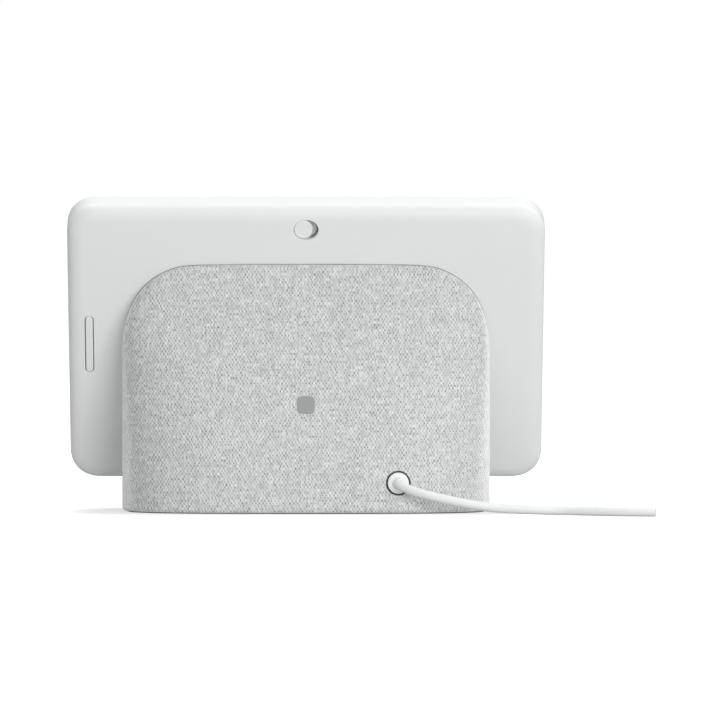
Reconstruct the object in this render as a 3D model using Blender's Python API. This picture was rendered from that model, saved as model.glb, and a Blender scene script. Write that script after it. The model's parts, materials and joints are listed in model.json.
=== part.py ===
"""Small smart display: a tilted glass-fronted display module on a fabric-wrapped speaker base.

Metres, +Z up. The origin is the centre of the rubber foot's underside, on the table.
The screen faces -Y, the fabric back and the power socket face +Y.
Run with: blender --background --python part.py
"""

import math

import bmesh
import bpy
from mathutils import Vector

MM = 0.001

# ---------------------------------------------------------------- driving sizes, in millimetres
WIDTH = 178.5  # display module, edge to edge
HEIGHT = 118.0  # table to top edge
DEPTH = 67.3  # display's lower front edge to the base's rearmost line
LEAN = math.radians(25.0)  # display leans back
THICK = 11.0  # display module, glass to back
BOTTOM_Z = 14.0  # display's lower front edge above the table
SLAB = (HEIGHT - BOTTOM_Z) / math.cos(LEAN)  # display module, along its own height
CORNER = 12.0  # corner radius of the display outline
PILLOW = 4.8  # radius where the sides roll into the back
WALL = 1.6  # rear cover wall
RIM = 0.9  # rear cover wall beside the glass

BASE_HALF_W = 68.8
BASE_HALF_D = 25.0
BASE_POWER = 3.2  # superellipse exponent of the footprint
ARCH_Z = 56.1  # the sides are upright below this height
ARCH_W = 36.7  # width and height of each shoulder of the arch
ARCH_POWER = 2.6
SEAM_Z = 92.6  # where the fabric meets the display's back
SEAM_Y = 6.49
FABRIC = 1.2
FABRIC_GAP = 0.3
SHELL = 2.0
FOOT_INSET = 3.0

FRONT_Y = BASE_HALF_D - DEPTH
REAR_SLOPE = (BASE_HALF_D - SEAM_Y) / SEAM_Z
REAR_ANGLE = math.atan(REAR_SLOPE)

MUTE_Z = 105.8  # along the slab
MUTE_TRAVEL = 2.0
MUTE_REST_X = 1.0
KNOB_R = 3.45
KNOB_TALL = 1.1  # the disc is a little taller than it is wide
SLOT_R = 4.02
SLOT_HALF = 4.6

ROCKER_X = 81.1
ROCKER_Z = 58.2
ROCKER_L = 23.2
ROCKER_W = 2.7
ROCKER_PIN_Y = 8.0  # depth from the glass

JACK = (-34.3, 21.86, 11.34)
PLUG_R = 3.95
PLUG_PROUD = 1.1
CABLE_R = 1.7

SPEAKER_Z = 42.0
BADGE_Z = 40.25


# ---------------------------------------------------------------- scene and materials
for old in list(bpy.data.objects):
    bpy.data.objects.remove(old, do_unlink=True)
scene = bpy.context.scene
scene.unit_settings.system = "METRIC"

MATERIALS = {}


def material(name, colour, roughness, metallic=0.0):
    m = bpy.data.materials.new(name)
    m.use_nodes = True
    bsdf = m.node_tree.nodes["Principled BSDF"]
    bsdf.inputs["Base Color"].default_value = (*colour, 1.0)
    bsdf.inputs["Roughness"].default_value = roughness
    bsdf.inputs["Metallic"].default_value = metallic
    MATERIALS[name] = m
    return m


material("white_shell", (0.80, 0.81, 0.80), 0.45)
material("fabric", (0.62, 0.64, 0.63), 0.95)
material("badge_grey", (0.42, 0.43, 0.43), 0.7)
material("glass", (0.03, 0.03, 0.035), 0.08)
material("lcd", (0.02, 0.02, 0.03), 0.3)
material("black_plastic", (0.04, 0.04, 0.045), 0.5)
material("grey_plastic", (0.45, 0.46, 0.46), 0.55)
material("orange", (0.85, 0.27, 0.05), 0.5)
material("aluminium", (0.70, 0.71, 0.73), 0.4, 1.0)
material("steel", (0.55, 0.55, 0.56), 0.35, 1.0)
material("circuit_board", (0.03, 0.20, 0.09), 0.5)
material("copper", (0.72, 0.43, 0.25), 0.35, 1.0)
material("ferrite", (0.12, 0.12, 0.12), 0.6)
material("paper_cone", (0.10, 0.10, 0.11), 0.8)
material("rubber_grey", (0.35, 0.35, 0.36), 0.85)
material("rubber_black", (0.05, 0.05, 0.05), 0.8)
material("cable_white", (0.82, 0.83, 0.82), 0.5)


# ---------------------------------------------------------------- frames
def empty(name, location_mm, rotation=(0.0, 0.0, 0.0)):
    e = bpy.data.objects.new(name, None)
    e.location = [c * MM for c in location_mm]
    e.rotation_euler = rotation
    scene.collection.objects.link(e)
    return e


# Display frame: x across, y from the glass to the back, z up along the slab.
DISPLAY = empty("display_frame", (0, FRONT_Y, BOTTOM_Z), (-LEAN, 0, 0))
# Row frame, for what stands on the table.
BASE = empty("base_frame", (0, 0, 0))
# Speaker frame: z is the driver's axis, out through the fabric, zero on its outer face.
SPEAKER = empty(
    "speaker_frame",
    (0, BASE_HALF_D - REAR_SLOPE * SPEAKER_Z, SPEAKER_Z),
    (REAR_ANGLE - math.pi / 2, 0, 0),
)
BADGE = empty(
    "badge_frame",
    (0, BASE_HALF_D - REAR_SLOPE * BADGE_Z, BADGE_Z),
    (REAR_ANGLE - math.pi / 2, 0, 0),
)
# Socket frame: z is the plug's axis, out of the back, zero on the fabric's face.
SOCKET = empty("socket_frame", JACK, (-math.pi / 2, 0, 0))
# The rocker turns about x through its pin; the mute slider moves along x.
ROCKER = empty("rocker_frame", (0, 0, 0))
ROCKER.parent = DISPLAY
ROCKER.location = (ROCKER_X * MM, ROCKER_PIN_Y * MM, ROCKER_Z * MM)
MUTE = empty("mute_frame", (0, 0, 0))
MUTE.parent = DISPLAY
MUTE.location = (0, 0, MUTE_Z * MM)


# ---------------------------------------------------------------- mesh helpers, in millimetres
def add(name, bm, mat, parent, smooth=35.0):
    """Closes the normals outward and makes the named object."""
    bm.normal_update()
    bmesh.ops.recalc_face_normals(bm, faces=bm.faces)
    bmesh.ops.scale(bm, vec=(MM, MM, MM), verts=bm.verts)
    mesh = bpy.data.meshes.new(name)
    bm.to_mesh(mesh)
    bm.free()
    mesh.shade_smooth()
    mesh.set_sharp_from_angle(angle=math.radians(smooth))
    obj = bpy.data.objects.new(name, mesh)
    scene.collection.objects.link(obj)
    obj.parent = parent
    if mat:
        mesh.materials.append(MATERIALS[mat])
    return obj


def loft(rings):
    """One closed body through rings of equal point count, capped at both ends."""
    bm = bmesh.new()
    rows = [[bm.verts.new(p) for p in ring] for ring in rings]
    n = len(rows[0])
    for a, b in zip(rows, rows[1:]):
        for i in range(n):
            j = (i + 1) % n
            bm.faces.new((a[i], a[j], b[j], b[i]))
    bm.faces.new(rows[0])
    bm.faces.new(rows[-1][::-1])
    return bm


def lathe(profile, n=32):
    """A closed (radius, height) profile turned about z. A radius of 0 makes a pole."""
    bm = bmesh.new()
    rows = []
    for r, h in profile:
        if r == 0:
            rows.append([bm.verts.new((0, 0, h))])
        else:
            rows.append(
                [
                    bm.verts.new(
                        (
                            r * math.cos(2 * math.pi * k / n),
                            r * math.sin(2 * math.pi * k / n),
                            h,
                        )
                    )
                    for k in range(n)
                ]
            )
    closed = all(r > 0 for r, _ in profile)
    pairs = list(zip(rows, rows[1:])) + ([(rows[-1], rows[0])] if closed else [])
    for a, b in pairs:
        for i in range(n):
            j = (i + 1) % n
            if len(a) == 1 and len(b) == 1:
                break
            if len(a) == 1:
                bm.faces.new((a[0], b[j], b[i]))
            elif len(b) == 1:
                bm.faces.new((a[i], a[j], b[0]))
            else:
                bm.faces.new((a[i], a[j], b[j], b[i]))
    return bm


def block(lo, hi, bevel=0.0, segments=1):
    bm = bmesh.new()
    bmesh.ops.create_cube(bm, size=1.0)
    size = [h - l for l, h in zip(lo, hi)]
    mid = [(h + l) / 2 for l, h in zip(lo, hi)]
    bmesh.ops.scale(bm, vec=size, verts=bm.verts)
    bmesh.ops.translate(bm, vec=mid, verts=bm.verts)
    if bevel:
        bmesh.ops.bevel(
            bm,
            geom=bm.edges[:],
            offset=bevel,
            segments=segments,
            profile=0.5,
            affect="EDGES",
        )
    return bm


def tube(centre, axis, radius, start, end, n=20):
    """A cylinder along x, y or z from start to end, its axis through centre."""
    bm = bmesh.new()
    bmesh.ops.create_cone(
        bm,
        cap_ends=True,
        segments=n,
        radius1=radius,
        radius2=radius,
        depth=end - start,
    )
    bmesh.ops.translate(bm, vec=(0, 0, (start + end) / 2), verts=bm.verts)
    for v in bm.verts:
        x, y, z = v.co
        v.co = {"z": (x, y, z), "y": (x, z, y), "x": (z, y, x)}[axis]
    shift = {
        "z": (centre[0], centre[1], 0),
        "y": (centre[0], 0, centre[1]),
        "x": (0, centre[0], centre[1]),
    }[axis]
    bmesh.ops.translate(bm, vec=shift, verts=bm.verts)
    return bm


def stadium(cx, cz, half_x, half_z, n=12):
    """Points of a pill outline in the xz plane."""
    r = min(half_x, half_z)
    dx, dz = half_x - r, half_z - r
    points = []
    for k in range(4 * n):
        a = 2 * math.pi * (k + 0.5) / (4 * n)
        sx, sz = math.copysign(1, math.cos(a)), math.copysign(1, math.sin(a))
        points.append((cx + sx * dx + r * math.cos(a), cz + sz * dz + r * math.sin(a)))
    return points


def plate(outline, y0, y1, edge=0.0):
    """An outline in the xz plane made solid from y0 to y1, with a small edge chamfer."""
    if not edge:
        return loft([[(x, y, z) for x, z in outline] for y in (y0, y1)])
    cx = sum(p[0] for p in outline) / len(outline)
    cz = sum(p[1] for p in outline) / len(outline)
    wx = max(abs(p[0] - cx) for p in outline)
    wz = max(abs(p[1] - cz) for p in outline)
    small = [
        (cx + (x - cx) * (1 - edge / wx), cz + (z - cz) * (1 - edge / wz))
        for x, z in outline
    ]
    return loft(
        [
            [(x, y0, z) for x, z in small],
            [(x, y0 + edge, z) for x, z in outline],
            [(x, y1 - edge, z) for x, z in outline],
            [(x, y1, z) for x, z in small],
        ]
    )


def cutter(name, bm, parent):
    c = add(name, bm, None, parent)
    c.hide_render = True
    c.display_type = "WIRE"
    return c


def cut(obj, *tools, operation="DIFFERENCE"):
    for tool in tools:
        m = obj.modifiers.new(tool.name, "BOOLEAN")
        m.operation = operation
        m.object = tool
        m.solver = "EXACT"
    return obj


# ---------------------------------------------------------------- display module
def outline(inset, steps=6):
    """The display's outline in its own xz plane, moved inward: a rectangle with softened corners."""
    w, h, r = WIDTH / 2 - inset, SLAB / 2 - inset, max(CORNER - inset, 1.5)
    points = []
    for quarter in range(4):
        for k in range(steps + 1):
            a = math.pi / 2 * (quarter + k / steps)
            c, s = math.cos(a), math.sin(a)
            p = 2 / 2.25
            cx = math.copysign(abs(c) ** p, c) if abs(c) > 1e-9 else 0.0
            sz = math.copysign(abs(s) ** p, s) if abs(s) > 1e-9 else 0.0
            sx = 1 if quarter in (0, 3) else -1
            szn = 1 if quarter in (0, 1) else -1
            points.append((sx * (w - r) + r * cx, SLAB / 2 + szn * (h - r) + r * sz))
    return points


def ring(inset, y, steps=6):
    return [(x, y, z) for x, z in outline(inset, steps)]


# rear_cover: a deep tray, back outwards, with a rebated rim that holds the glass
rings = []
for k in range(5, -1, -1):
    a = math.pi / 2 * k / 5
    rings.append(
        ring(PILLOW * (1 - math.cos(a)), THICK - PILLOW + PILLOW * math.sin(a))
    )
rings += [ring(0, 0.5), ring(0.25, 0.0), ring(RIM, 0.0), ring(RIM, 1.4)]
rings += [ring(WALL, 1.4)]
inner_r = PILLOW - WALL
for k in range(4):
    a = math.pi / 2 * k / 3
    rings.append(
        ring(
            WALL + inner_r * (1 - math.cos(a)), THICK - PILLOW + inner_r * math.sin(a)
        )
    )
rear_cover = add("rear_cover", loft(rings), "white_shell", DISPLAY)

slot_cut = cutter(
    "cut_mute_slot", plate(stadium(0, 0, SLOT_HALF, SLOT_R), 8.0, 13.0), MUTE
)
rocker_cut = cutter(
    "cut_rocker_hole",
    plate(
        stadium(ROCKER_X, ROCKER_Z, ROCKER_W / 2 + 0.22, ROCKER_L / 2 + 0.22, 6),
        8.0,
        13.0,
    ),
    DISPLAY,
)
wire_cut = cutter("cut_wire_window", block((-15, 8, 31), (15, 16, 42)), DISPLAY)
SCREW_SPOTS = [(-29, 43), (29, 43)]
bracket_cuts = [
    cutter(f"cut_bracket_hole_{i}", tube((x, z), "y", 1.5, 8, 11.15, 14), DISPLAY)
    for i, (x, z) in enumerate(SCREW_SPOTS)
]
cut(rear_cover, slot_cut, rocker_cut, wire_cut, *bracket_cuts)

# cover_glass: one sheet over the whole front, with two microphone holes
cover_glass = add(
    "cover_glass",
    loft([ring(1.3, 0.1), ring(1.12, 0.28), ring(1.12, 1.02), ring(1.3, 1.2)]),
    "glass",
    DISPLAY,
)
MIC_X, MIC_Z = 31.0, 110.0
cut(
    cover_glass,
    *[
        cutter(
            f"cut_mic_hole_{i}", tube((x, MIC_Z), "y", 0.55, -1, 1.3, 12), DISPLAY
        )
        for i, x in enumerate((-MIC_X, MIC_X))
    ],
)

# lcd_cell and backlight_unit: a 7 inch wide-screen panel and the metal tray behind it
PANEL_W, PANEL_H = 163.8 / 2, 97.0 / 2
MID = SLAB / 2
add(
    "lcd_cell",
    block((-PANEL_W, 1.35, MID - PANEL_H), (PANEL_W, 2.45, MID + PANEL_H)),
    "lcd",
    DISPLAY,
)
add(
    "backlight_unit",
    block((-PANEL_W, 2.5, MID - PANEL_H), (PANEL_W, 4.7, MID + PANEL_H), 0.3),
    "aluminium",
    DISPLAY,
)

# lcd_frame: locates the panel and closes the rebate behind the glass
lcd_frame = add(
    "lcd_frame", loft([ring(1.9, 1.45, 6), ring(1.9, 4.6, 6)]), "black_plastic", DISPLAY
)
cut(
    lcd_frame,
    cutter(
        "cut_panel_window",
        block(
            (-PANEL_W - 0.3, 0, MID - PANEL_H - 0.3),
            (PANEL_W + 0.3, 8, MID + PANEL_H + 0.3),
        ),
        DISPLAY,
    ),
    cutter("cut_mic_pocket", block((-41, 1.9, 108.2), (41, 8, 111.9)), DISPLAY),
    *[
        cutter(
            f"cut_mic_port_{i}", tube((x, MIC_Z), "y", 0.8, 0, 3, 10), DISPLAY
        )
        for i, x in enumerate((-MIC_X, MIC_X))
    ],
    cutter("cut_sensor_port", tube((0, MIC_Z), "y", 1.5, 0, 3, 12), DISPLAY),
)

# front sensor strip: board, two microphones and a light sensor
add(
    "sensor_board",
    block((-40, 3.7, 108.5), (40, 4.4, 111.6)),
    "circuit_board",
    DISPLAY,
)
for side, x in (("left", -MIC_X), ("right", MIC_X)):
    add(
        f"microphone_{side}",
        block((x - 1.9, 2.75, 108.7), (x + 1.9, 3.65, 111.4)),
        "steel",
        DISPLAY,
    )
add(
    "light_sensor",
    block((-1.3, 2.3, 109.2), (1.3, 3.65, 110.8)),
    "black_plastic",
    DISPLAY,
)

# heat_spreader: aluminium mid plate with two threaded posts for the stand
heat_spreader = add(
    "heat_spreader", block((-74, 4.95, 16.0), (74, 5.75, 101.0)), "aluminium", DISPLAY
)
for i, (x, z) in enumerate(SCREW_SPOTS):
    cut(
        heat_spreader,
        cutter(f"join_post_{i}", tube((x, z), "y", 2.8, 5.3, 9.2, 16), DISPLAY),
        operation="UNION",
    )
for i, (x, z) in enumerate(SCREW_SPOTS):
    cut(
        heat_spreader,
        cutter(f"cut_post_{i}", tube((x, z), "y", 1.25, 5.9, 10, 12), DISPLAY),
    )

# main_board with its two shields
add("main_board", block((-48, 6.1, 52.0), (48, 7.1, 98.0)), "circuit_board", DISPLAY)


def can(x0, x1, z0, z1, y0, y1, wall=0.25):
    """A pressed shield: five walls, open towards the board."""
    o = [(x0, z0), (x1, z0), (x1, z1), (x0, z1)]
    i = [
        (x0 + wall, z0 + wall),
        (x1 - wall, z0 + wall),
        (x1 - wall, z1 - wall),
        (x0 + wall, z1 - wall),
    ]
    return loft(
        [
            [(x, y1, z) for x, z in o],
            [(x, y0, z) for x, z in o],
            [(x, y0, z) for x, z in i],
            [(x, y1 - wall, z) for x, z in i],
        ]
    )


add("processor_shield", can(-30, 0, 62, 88, 7.15, 8.9), "steel", DISPLAY)
add("radio_shield", can(8, 30, 70, 88, 7.15, 8.9), "steel", DISPLAY)
for side, s in (("left", -1), ("right", 1)):
    add(
        f"antenna_{side}",
        block(
            tuple(min(a, b) for a, b in zip((s * 56, 6.0, 92.0), (s * 70, 6.3, 100.0))),
            tuple(max(a, b) for a, b in zip((s * 56, 6.0, 92.0), (s * 70, 6.3, 100.0))),
        ),
        "copper",
        DISPLAY,
    )


# display_ribbon: flat cable from the panel's lower edge, folded round the mid plate
def ribbon(path, width, thickness):
    sides = []
    for k, (y, z) in enumerate(path):
        a, b = path[max(k - 1, 0)], path[min(k + 1, len(path) - 1)]
        ty, tz = b[0] - a[0], b[1] - a[1]
        length = math.hypot(ty, tz)
        ny, nz = -tz / length, ty / length
        sides.append((y, z, ny * thickness / 2, nz * thickness / 2))
    return loft(
        [
            [
                (-width / 2, y - ny, z - nz),
                (width / 2, y - ny, z - nz),
                (width / 2, y + ny, z + nz),
                (-width / 2, y + ny, z + nz),
            ]
            for y, z, ny, nz in sides
        ]
    )


fold = [(4.83, 9.6), (4.83, 13.2)]
fold += [
    (5.6 - 0.77 * math.cos(math.pi * k / 10), 13.2 + 1.1 * math.sin(math.pi * k / 10))
    for k in range(1, 6)
]
fold += [(6.1, 14.6), (6.35, 15.6), (6.42, 17.0), (6.42, 51.6)]
add("display_ribbon", ribbon(fold, 20, 0.12), "copper", DISPLAY)

# ---------------------------------------------------------------- mute slider, moves along x
# mute_knob: the round thumb disc, seen in the slot
knob = lathe(
    [
        (0, 0.0),
        (KNOB_R - 0.35, 0.0),
        (KNOB_R, 0.25),
        (KNOB_R, 1.45),
        (KNOB_R - 0.12, 1.62),
        (KNOB_R - 0.35, 1.7),
        (0, 1.7),
    ],
    28,
)
for v in knob.verts:
    v.co = (MUTE_REST_X + v.co.x, 9.1 + v.co.z, KNOB_TALL * v.co.y)
add("mute_knob", knob, "white_shell", MUTE)

# mute_carriage: the plate behind the wall that carries the knob and drives the switch
mute_carriage = add(
    "mute_carriage",
    block((-5.4, 8.4, -4.4), (7.7, 9.05, 4.4), 0.15),
    "white_shell",
    MUTE,
)
cut(
    mute_carriage,
    cutter(
        "cut_lever_fork",
        block((MUTE_REST_X - 0.7, 7, -0.7), (MUTE_REST_X + 0.7, 8.8, 0.7)),
        MUTE,
    ),
)
# mute_indicator: the warning patch that shows when the slider is moved across
add(
    "mute_indicator",
    block((4.6, 9.08, -3.9), (7.5, 9.2, 3.9)),
    "orange",
    MUTE,
)
add(
    "switch_lever",
    block((MUTE_REST_X - 0.55, 7.5, -0.5), (MUTE_REST_X + 0.55, 8.7, 0.5), 0.1),
    "black_plastic",
    MUTE,
)
slide_switch = add(
    "slide_switch", block((-4.5, 6.85, -1.8), (4.5, 8.2, 1.8)), "steel", MUTE
)
cut(
    slide_switch,
    cutter("cut_switch_slot", block((-1.9, 7.3, -0.8), (1.9, 9, 0.8)), MUTE),
)
add("mute_board", block((-12, 6.1, -3.6), (12, 6.8, 4.0)), "circuit_board", MUTE)

# ---------------------------------------------------------------- volume rocker, turns about its pin
# volume_rocker: the long pill, with a hidden flange, two push ribs and a pivot lug
pill = plate(stadium(0, 0, ROCKER_W / 2, ROCKER_L / 2, 6), 0.85, 3.1, 0.2)
volume_rocker = add("volume_rocker", pill, "white_shell", ROCKER)
for name, lo, hi in (
    ("flange", (-2.1, 0.6, -11.9), (2.1, 1.0, 11.9)),
    ("rib_down", (-0.8, 0.2, -9.5), (0.8, 0.8, -7.9)),
    ("rib_up", (-0.8, 0.2, 7.9), (0.8, 0.8, 9.5)),
    ("lug", (-1.0, -0.95, -1.1), (1.0, 0.8, 1.1)),
):
    cut(
        volume_rocker,
        cutter(f"join_{name}", block(lo, hi), ROCKER),
        operation="UNION",
    )
cut(
    volume_rocker,
    cutter("cut_pin_bore", tube((0, 0), "x", 0.6, -3, 3, 16), ROCKER),
)
add("rocker_pin", tube((0, 0), "x", 0.5, -3.0, 3.0, 16), "steel", ROCKER)
# rocker_cradle: the two ears that hold the pin
cradle = loft(
    [
        [
            (-3.1, -2.0, z),
            (3.1, -2.0, z),
            (3.1, 1.0, z),
            (1.7, 1.0, z),
            (1.7, -1.4, z),
            (-1.7, -1.4, z),
            (-1.7, 1.0, z),
            (-3.1, 1.0, z),
        ]
        for z in (-1.8, 1.8)
    ]
)
rocker_cradle = add("rocker_cradle", cradle, "black_plastic", ROCKER)
cut(
    rocker_cradle,
    cutter("cut_cradle_bore", tube((0, 0), "x", 0.56, -4, 4, 16), ROCKER),
    cutter("cut_flange_relief", block((-4, 0.35, -3), (4, 2, 3)), ROCKER),
)
add(
    "volume_board",
    block((78.4, 5.3, 45.4), (83.8, 5.95, 71.0)),
    "circuit_board",
    DISPLAY,
)
for word, z in (("up", ROCKER_Z + 8.7), ("down", ROCKER_Z - 8.7)):
    button = add(
        f"volume_{word}_switch",
        block((79.5, 6.0, z - 1.5), (82.7, 7.3, z + 1.5)),
        "steel",
        DISPLAY,
    )
    cut(
        button,
        cutter(
            f"join_plunger_{word}",
            tube((ROCKER_X, z), "y", 0.8, 7.0, 7.9, 12),
            DISPLAY,
        ),
        operation="UNION",
    )


# ---------------------------------------------------------------- base
def seam(offset):
    """Height and depth where a wall this far inside the outer face meets the display's back."""
    return SEAM_Z - 1.53 * offset, SEAM_Y - 0.71 * offset


def section(z, offset, n=40):
    """The base's level section at height z, moved inward by offset: a soft rounded D."""
    top, top_y = seam(offset)
    shoulder = top - ARCH_Z
    half = BASE_HALF_W - offset
    if z > ARCH_Z:
        t = min((z - ARCH_Z) / shoulder, 1.0)
        half += (ARCH_W - offset) * (
            (1 - t**ARCH_POWER) ** (1 / ARCH_POWER) - 1
        )
    centre = top_y * (min(z, top) / top) ** 3
    rear = max(BASE_HALF_D - 1.02 * offset - REAR_SLOPE * z - centre, 0.2)
    front = BASE_HALF_D - offset + centre
    points = []
    for k in range(n):
        a = 2 * math.pi * (k + 0.5) / n
        c, s = math.cos(a), math.sin(a)
        p = 2 / BASE_POWER
        x = half * math.copysign(abs(c) ** p, c)
        y = centre + (rear if s > 0 else front) * math.copysign(abs(s) ** p, s)
        points.append((x, y, z))
    return points


def base_body(offset, z0, tuck=0.0, n=40):
    """The closed body of the base down to z0, with its lower edge tucked under."""
    top, _ = seam(offset)
    rings = []
    for k in range(4 if tuck else 1):
        a = math.pi / 2 * k / 4
        inward = tuck * (1 - math.sin(a))
        rings.append(section(z0 + tuck * (1 - math.cos(a)), offset + inward, n))
    levels = [z0 + tuck + 0.4, 30.0, ARCH_Z]
    shoulder = top - ARCH_Z
    levels += [
        ARCH_Z + shoulder * math.sin(math.pi / 2 * k / 8) for k in range(1, 8)
    ]
    levels += [ARCH_Z + shoulder * f for f in (0.996, 1.0)]
    for z in levels:
        if z > z0 + tuck + 0.1:
            rings.append(section(z, offset, n))
    rings.append([(x, y, top + 0.6) for x, y, _ in rings[-1]])
    return loft(rings)


def behind_display(name, gap):
    """Everything in front of the display's back face plus a gap."""
    return cutter(name, block((-120, -80, -80), (120, THICK + gap, 220)), DISPLAY)


socket_cut = cutter("cut_socket_fabric", tube((0, 0), "z", 4.6, -6, 8, 32), SOCKET)

# fabric_cover: the knitted sock drawn over the base, open below and against the display
fabric_cover = add("fabric_cover", base_body(0.0, 0.7, 2.3), "fabric", BASE)
cut(
    fabric_cover,
    cutter("cut_fabric_inside", base_body(FABRIC, -2.0), BASE),
    behind_display("cut_fabric_front", 0.3),
    socket_cut,
)

# base_shell: the rigid body under the fabric, with the driver opening, posts and screw bosses
OUTER = FABRIC + FABRIC_GAP
base_shell = add("base_shell", base_body(OUTER, 4.6), "grey_plastic", BASE)
cut(
    base_shell,
    cutter("cut_shell_inside", base_body(OUTER + SHELL, 2.0), BASE),
)
BOSS_SPOTS = [(-59.5, -8), (59.5, -8), (-59.5, 8), (59.5, 8)]
POST_X = (-29, 29)
BRACKET_Z = 31.3  # underside of the stand bracket's two feet
for i, (x, y) in enumerate(BOSS_SPOTS):
    cut(
        base_shell,
        cutter(f"join_boss_{i}", tube((x, y), "z", 4.2, 4.6, 16.0, 16), BASE),
        operation="UNION",
    )
    cut(
        base_shell,
        cutter(
            f"join_boss_rib_{i}",
            block(
                (min(x, math.copysign(65.0, x)), y - 1, 4.8),
                (max(x, math.copysign(65.0, x)), y + 1, 15.0),
            ),
            BASE,
        ),
        operation="UNION",
    )
for i, x in enumerate(POST_X):
    cut(
        base_shell,
        cutter(
            f"join_stand_post_{i}",
            block((x - 4.5, -21.9, 4.6), (x + 4.5, -10.0, BRACKET_Z - 0.3)),
            BASE,
        ),
        operation="UNION",
    )
for i, (x, y) in enumerate(BOSS_SPOTS):
    cut(
        base_shell,
        cutter(f"cut_boss_{i}", tube((x, y), "z", 1.3, 3.0, 14.0, 12), BASE),
    )
for i, x in enumerate(POST_X):
    cut(
        base_shell,
        cutter(
            f"cut_stand_post_{i}",
            tube((x, -15), "z", 1.3, BRACKET_Z - 10, BRACKET_Z + 1, 12),
            BASE,
        ),
    )
cut(
    base_shell,
    behind_display("cut_shell_front", 0.6),
    cutter("cut_bracket_notch", block((-37, -30, BRACKET_Z - 0.3), (37, -20.0, 60)), BASE),
    cutter("cut_driver_opening", tube((0, 0), "z", 19.8, -8, 4, 40), SPEAKER),
    cutter("cut_socket_shell", tube((0, 0), "z", 5.1, -8, 4, 28), SOCKET),
)

# base_plate and rubber_foot close the underside
def pad(offset, z0, z1, edge, n=40):
    inner = section(0, offset + edge, n)
    outer = section(0, offset, n)
    return loft(
        [
            [(x, y, z0) for x, y, _ in inner],
            [(x, y, z0 + edge) for x, y, _ in outer],
            [(x, y, z1) for x, y, _ in outer],
        ]
    )


base_plate = add("base_plate", pad(2.7, 1.7, 4.2, 0.3), "grey_plastic", BASE)
for i, (x, y) in enumerate(BOSS_SPOTS):
    cut(
        base_plate,
        cutter(f"cut_plate_head_{i}", tube((x, y), "z", 2.8, 0, 3.0, 16), BASE),
        cutter(f"cut_plate_hole_{i}", tube((x, y), "z", 1.5, 2, 6, 12), BASE),
    )
add("rubber_foot", pad(FOOT_INSET, 0.0, 1.5, 0.35), "rubber_grey", BASE)

# counterweight: a steel slug that keeps the base down
add(
    "counterweight",
    block((-23.8, -19.5, 4.5), (23.8, 6.0, 13.0), 0.6),
    "steel",
    BASE,
)

# stand_bracket: bent steel, a plate on the display's back with two feet on the base posts
stand_bracket = add(
    "stand_bracket",
    block((-36, THICK + 0.3, 25.4), (36, THICK + 1.8, 50.0)),
    "steel",
    DISPLAY,
)
for i, s in enumerate((-1, 1)):
    cut(
        stand_bracket,
        cutter(
            f"join_bracket_foot_{i}",
            block(
                (min(s * 22, s * 35), -23.5, BRACKET_Z),
                (max(s * 22, s * 35), -10.5, BRACKET_Z + 1.6),
            ),
            BASE,
        ),
        operation="UNION",
    )
cut(
    stand_bracket,
    cutter("cut_bracket_nose", block((-60, -40, 0), (60, THICK + 0.3, 60)), DISPLAY),
    wire_cut,
    *[
        cutter(f"cut_bracket_leg_{i}", tube((x, z), "y", 1.45, 10, 14, 12), DISPLAY)
        for i, (x, z) in enumerate(SCREW_SPOTS)
    ],
    *[
        cutter(
            f"cut_bracket_foot_{i}",
            tube((x, -15), "z", 1.45, BRACKET_Z - 1, BRACKET_Z + 3, 12),
            BASE,
        )
        for i, x in enumerate(POST_X)
    ],
)


# ---------------------------------------------------------------- screws
def screw(name, parent, centre, axis, head_at, direction, length, shank=1.1, head=2.2):
    """A pan-head screw. direction points from the head into the thread."""
    profile = [
        (0, 0.0),
        (head - 0.3, 0.0),
        (head, 0.35),
        (head, 1.1),
        (shank, 1.1),
        (shank, 1.1 + length),
        (0, 1.1 + length),
    ]
    bm = lathe(profile, 12)
    for v in bm.verts:
        x, y, z = v.co
        h = head_at + direction * z
        if axis == "z":
            v.co = (centre[0] + x, centre[1] + y, h)
        else:
            v.co = (centre[0] + x, h, centre[1] + y)
    return add(name, bm, "steel", parent)


for i, (x, z) in enumerate(SCREW_SPOTS, 1):
    screw(f"stand_screw_{i}", DISPLAY, (x, z), "y", THICK + 2.95, -1, 6.2, 0.95)
for i, x in enumerate(POST_X, 3):
    screw(f"stand_screw_{i}", BASE, (x, -15), "z", BRACKET_Z + 2.75, -1, 8.0, 0.95)
for i, (x, y) in enumerate(BOSS_SPOTS, 1):
    screw(f"base_screw_{i}", BASE, (x, y), "z", 1.75, 1, 7.0, 0.95)

# ---------------------------------------------------------------- speaker driver, in its own frame
add(
    "speaker_gasket",
    lathe([(20.4, -5.0), (23.0, -5.0), (23.0, -4.1), (20.4, -4.1)], 28),
    "rubber_black",
    SPEAKER,
)
speaker_basket = add(
    "speaker_basket",
    lathe(
        [
            (23.0, -5.1),
            (23.0, -6.4),
            (20.9, -6.4),
            (15.6, -14.9),
            (15.0, -15.8),
            (9.2, -15.8),
            (9.2, -14.8),
            (14.4, -14.8),
            (19.6, -6.2),
            (19.6, -5.1),
        ],
        24,
    ),
    "black_plastic",
    SPEAKER,
)
for i in range(4):
    window = block((8.5, -4.5, -13.8), (30, 4.5, -8.2))
    a = math.pi / 4 + math.pi / 2 * i
    for v in window.verts:
        x, y, z = v.co
        v.co = (
            x * math.cos(a) - y * math.sin(a),
            x * math.sin(a) + y * math.cos(a),
            z,
        )
    cut(speaker_basket, cutter(f"cut_basket_window_{i}", window, SPEAKER))

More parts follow.
